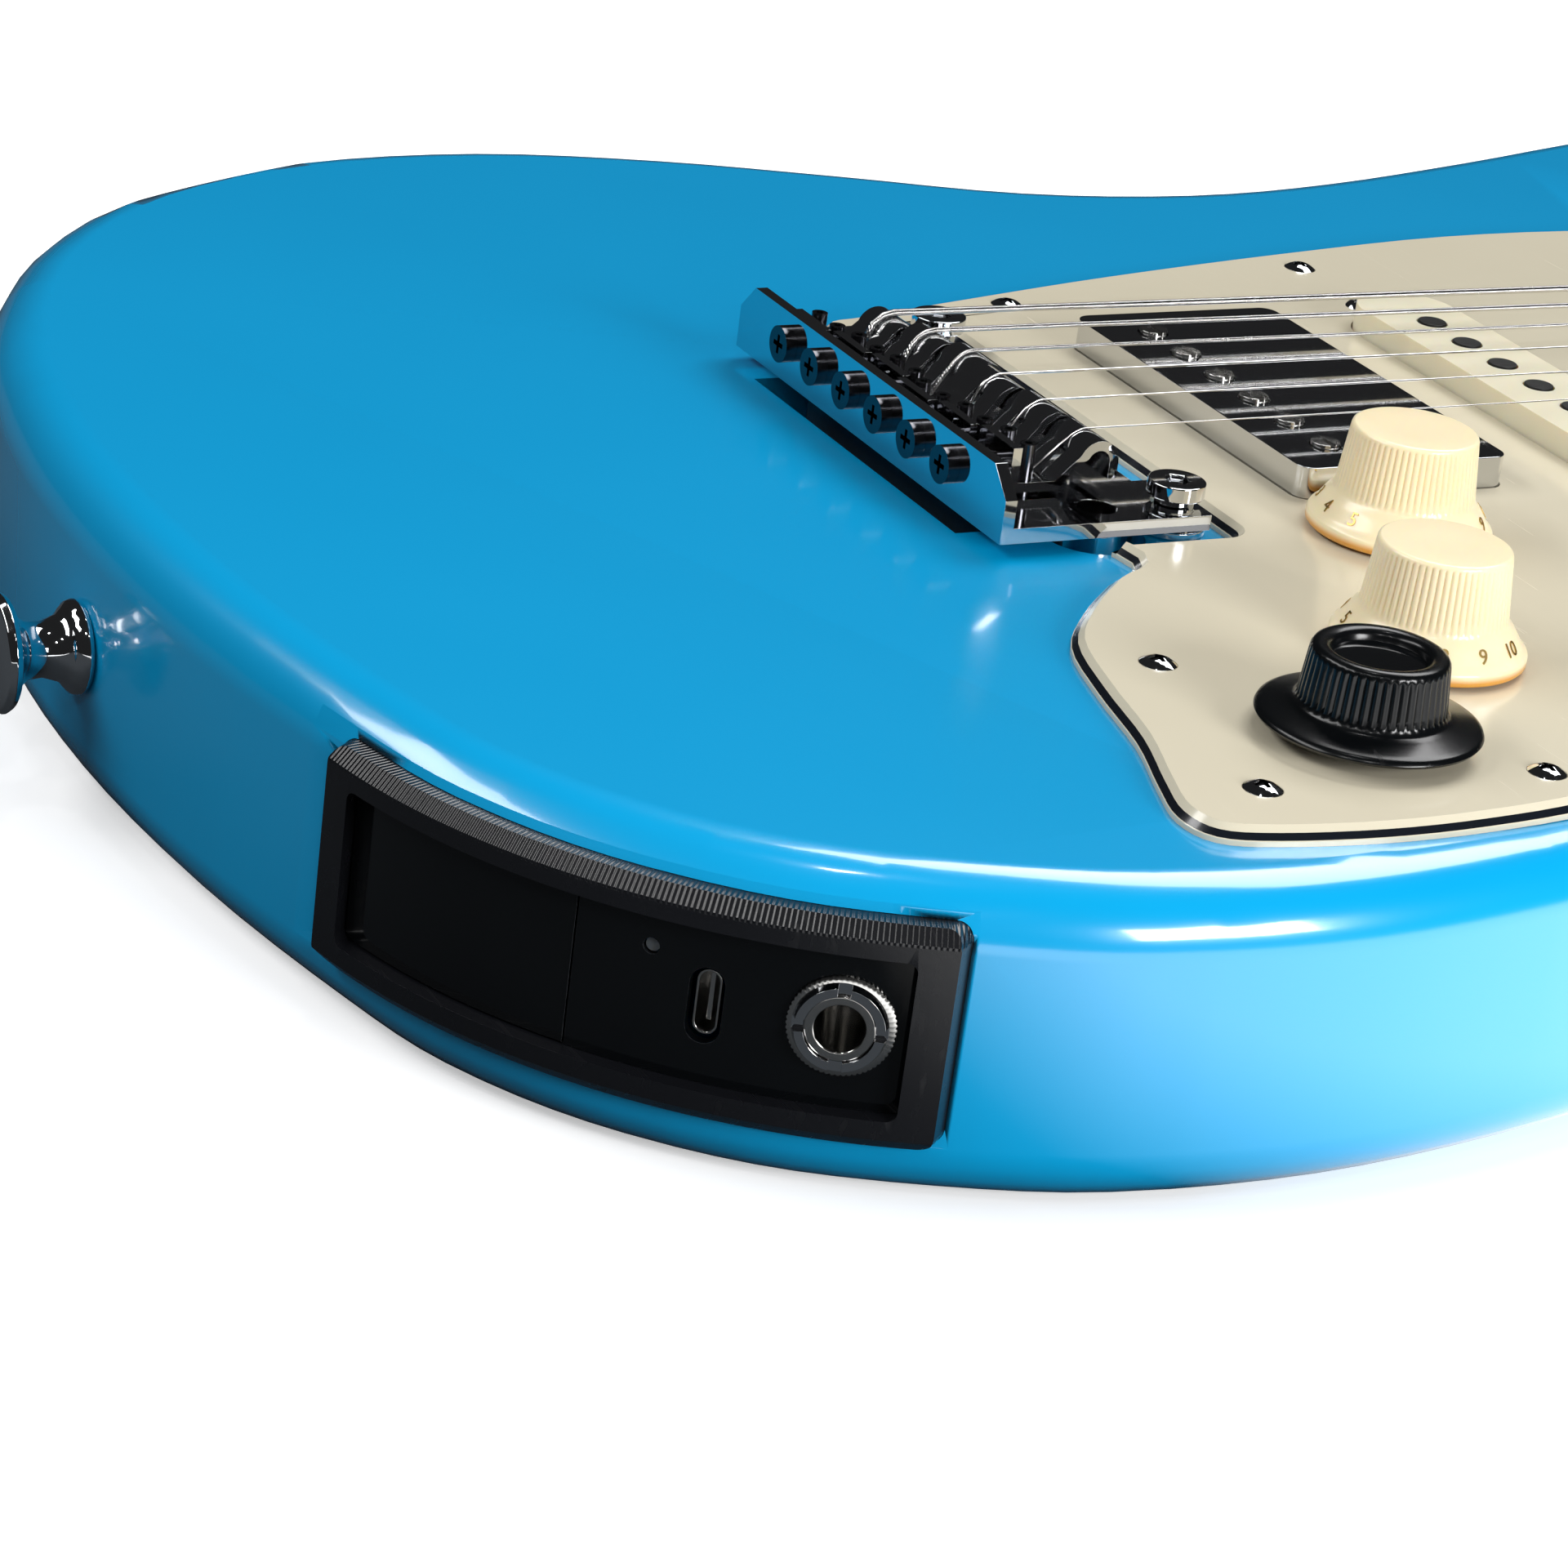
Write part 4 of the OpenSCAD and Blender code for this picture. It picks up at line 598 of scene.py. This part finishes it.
# Rounding in millimetres for each CAD node that is shown in its own shape.
ROUNDED = {
    "plate_screws": 0.15, "neck": 1.2, "frets": 0.5, "fret_dots": 0, "nut": 0.3, "neck_plate": 0.35,
    "long_wood_screws": 0.2, "back_cover": 0.3, "bridge_posts": 0.25, "single_coil_covers": 1.0,
    "single_coils": 0.3, "bridge_pickup_cover": 1.1, "bridge_pickup_coils": 0, "pole_screws": 0.25,
    "pickup_height_screws": 0.15, "strap_buttons": 0.2, "strap_button_screws": 0.2, "battery_bay": 0,
    "output_jack": 0.25, "jack_nut": 0.18, "usb_c_port": 0.1, "led_lens": 0.1, "control_pots": 0.3,
    "volume_shaft": 0.2, "tone_shaft": 0.2, "dial_lens": 0.15, "dial_shaft": 0.2, "selector_switch": 0.15,
    "selector_lever": 0.2, "selector_tip": 0.8, "bridge_plate": 0.45, "tremolo_block": 0.4, "saddles": 0.35,
    "spring_claw": 0.2, "tuner_housings": 0.5,
    "truss_rod": 0, "fingerboard": 0.4,
}


def all_pieces():
    stand_for(piece_from(merged_copy("body"), "lacquered_body", "body", angle_deg=38), "body")
    bevelled_guard()
    cream_knob("volume_knob", 150)
    cream_knob("tone_knob", 110)
    dial_knob()
    softened("pod_frame", 0.55, 3, RIDGED_BLACK, 30)
    # The bevels of the port panel and battery door carry the painted edge highlight.
    softened("port_panel", 0.22, 1, PANEL_BLACK, 30, PAINTED_EDGE_HIGHLIGHT)
    softened("battery_pack", 0.25, 1, PANEL_BLACK, 30, PAINTED_EDGE_HIGHLIGHT)
    softened("saddle_screws", 0.2, 2, DARK_SCREW)
    spring_coils()
    jack_washer()
    string_set()
    for node, width in ROUNDED.items():
        softened(node, width)
    for number in range(1, 7):
        softened(f"tuner_post_{number}", 0.4)
        softened(f"tuner_key_{number}", 1.1, 3)


# ---------------------------------------------------------------- studio

def floor():
    bm = bmesh.new()
    bmesh.ops.create_circle(bm, cap_ends=True, segments=64, radius=6.0, matrix=Matrix.Translation((0, 0, -0.4 * MM)))
    mesh = bpy.data.meshes.new("floor")
    bm.to_mesh(mesh)
    bm.free()
    obj = bpy.data.objects.new("floor", mesh)
    bpy.context.scene.collection.objects.link(obj)
    material = bpy.data.materials.new("pale_floor")
    material.use_nodes = True
    tree = material.node_tree
    bsdf = tree.nodes["Principled BSDF"]
    bsdf.inputs["Roughness"].default_value = 0.9
    bsdf.inputs["Specular IOR Level"].default_value = 0.0
    bsdf.inputs["Emission Color"].default_value = (1, 1, 1, 1)
    path = tree.nodes.new("ShaderNodeLightPath")
    seen = path.outputs["Is Camera Ray"]
    tree.links.new(mixed(tree, seen, (0.05, 0.055, 0.06, 1), (0.86, 0.86, 0.86, 1)), bsdf.inputs["Base Color"])
    parts = add(tree, "ShaderNodeSeparateXYZ", {"Vector": tree.nodes.new("ShaderNodeTexCoord").outputs["Object"]})
    across = maths(tree, "MULTIPLY_ADD", parts.outputs["X"], 0.8, maths(tree, "MULTIPLY", parts.outputs["Y"], 0.6))
    near = add(tree, "ShaderNodeMapRange", {"Value": across, "From Min": 0.09, "From Max": 0.15, "To Max": 2.2}).outputs[0]
    far = add(tree, "ShaderNodeMapRange", {"Value": across, "From Min": 0.3, "From Max": 0.5, "To Min": 1, "To Max": 0}).outputs[0]
    bounce = maths(tree, "MULTIPLY", maths(tree, "MULTIPLY", near, far), maths(tree, "SUBTRACT", 1.0, seen))
    place = tree.nodes.new("ShaderNodeTexCoord").outputs["Object"]
    away = add(tree, "ShaderNodeVectorMath", {0: place}, operation="LENGTH").outputs["Value"]
    white = add(tree, "ShaderNodeMapRange", {"Value": away, "From Min": 0.5, "From Max": 2.0, "To Min": 0.45}).outputs[0]
    tree.links.new(maths(tree, "MULTIPLY_ADD", seen, white, bounce), bsdf.inputs["Emission Strength"])
    mesh.materials.append(material)


def softbox(name, place, target, width, height, power):
    lamp = bpy.data.lights.new(name, "AREA")
    lamp.shape = "RECTANGLE"
    lamp.size = width
    lamp.size_y = height
    lamp.energy = power
    obj = bpy.data.objects.new(name, lamp)
    bpy.context.scene.collection.objects.link(obj)
    obj.location = place
    obj.rotation_mode = "QUATERNION"
    obj.rotation_quaternion = (Vector(target) - Vector(place)).to_track_quat("-Z", "Y")


def studio():
    world = bpy.data.worlds.new("studio")
    world.use_nodes = True
    backdrop = world.node_tree.nodes["Background"]
    backdrop.inputs["Color"].default_value = (0.95, 0.97, 1.0, 1)
    path = world.node_tree.nodes.new("ShaderNodeLightPath")
    soft = maths(world.node_tree, "MULTIPLY_ADD", path.outputs["Is Glossy Ray"], -0.17, 0.19)
    level = maths(world.node_tree, "MAXIMUM", soft, path.outputs["Is Camera Ray"])
    world.node_tree.links.new(level, backdrop.inputs["Strength"])
    bpy.context.scene.world = world
    middle = (0.06, -0.04, 0.03)
    softbox("key_right", (1.35, 0.35, 0.5), middle, 0.55, 0.4, 17)
    softbox("top_left", (-0.35, -1.15, 1.15), middle, 1.5, 0.35, 13)
    softbox("over", (-0.5, 0.9, 1.5), middle, 1.2, 0.8, 22)
    for number, place in enumerate([(0.75, -0.9, 1.1), (1.05, -0.5, 1.1), (0.1, -0.1, 1.7)]):
        softbox(f"glint_{number}", place, middle, 0.08, 0.08, 1.1)


def camera():
    """Looks down over the treble side of the lower bout, towards the bridge."""
    lens_pixels = 5740.0
    frame_pixels = 1920
    turn, tilt, roll = 2.6186, -0.4122, 0.1322
    data = bpy.data.cameras.new("camera")
    data.sensor_width = 36
    data.lens = lens_pixels / frame_pixels * data.sensor_width
    data.clip_start = 0.01
    obj = bpy.data.objects.new("camera", data)
    bpy.context.scene.collection.objects.link(obj)
    ahead = Vector((math.cos(tilt) * math.cos(turn), math.cos(tilt) * math.sin(turn), math.sin(tilt)))
    right = ahead.cross(UP).normalized()
    above = right.cross(ahead)
    right_rolled = right * math.cos(roll) + above * math.sin(roll)
    above_rolled = above * math.cos(roll) - right * math.sin(roll)
    turned_axes = Matrix((right_rolled, above_rolled, -ahead)).transposed().to_4x4()
    obj.matrix_world = Matrix.Translation((0.5795, -0.3621, 0.2827)) @ turned_axes
    bpy.context.scene.camera = obj


all_pieces()
floor()
studio()
camera()
bpy.context.scene.view_settings.view_transform = "Standard"
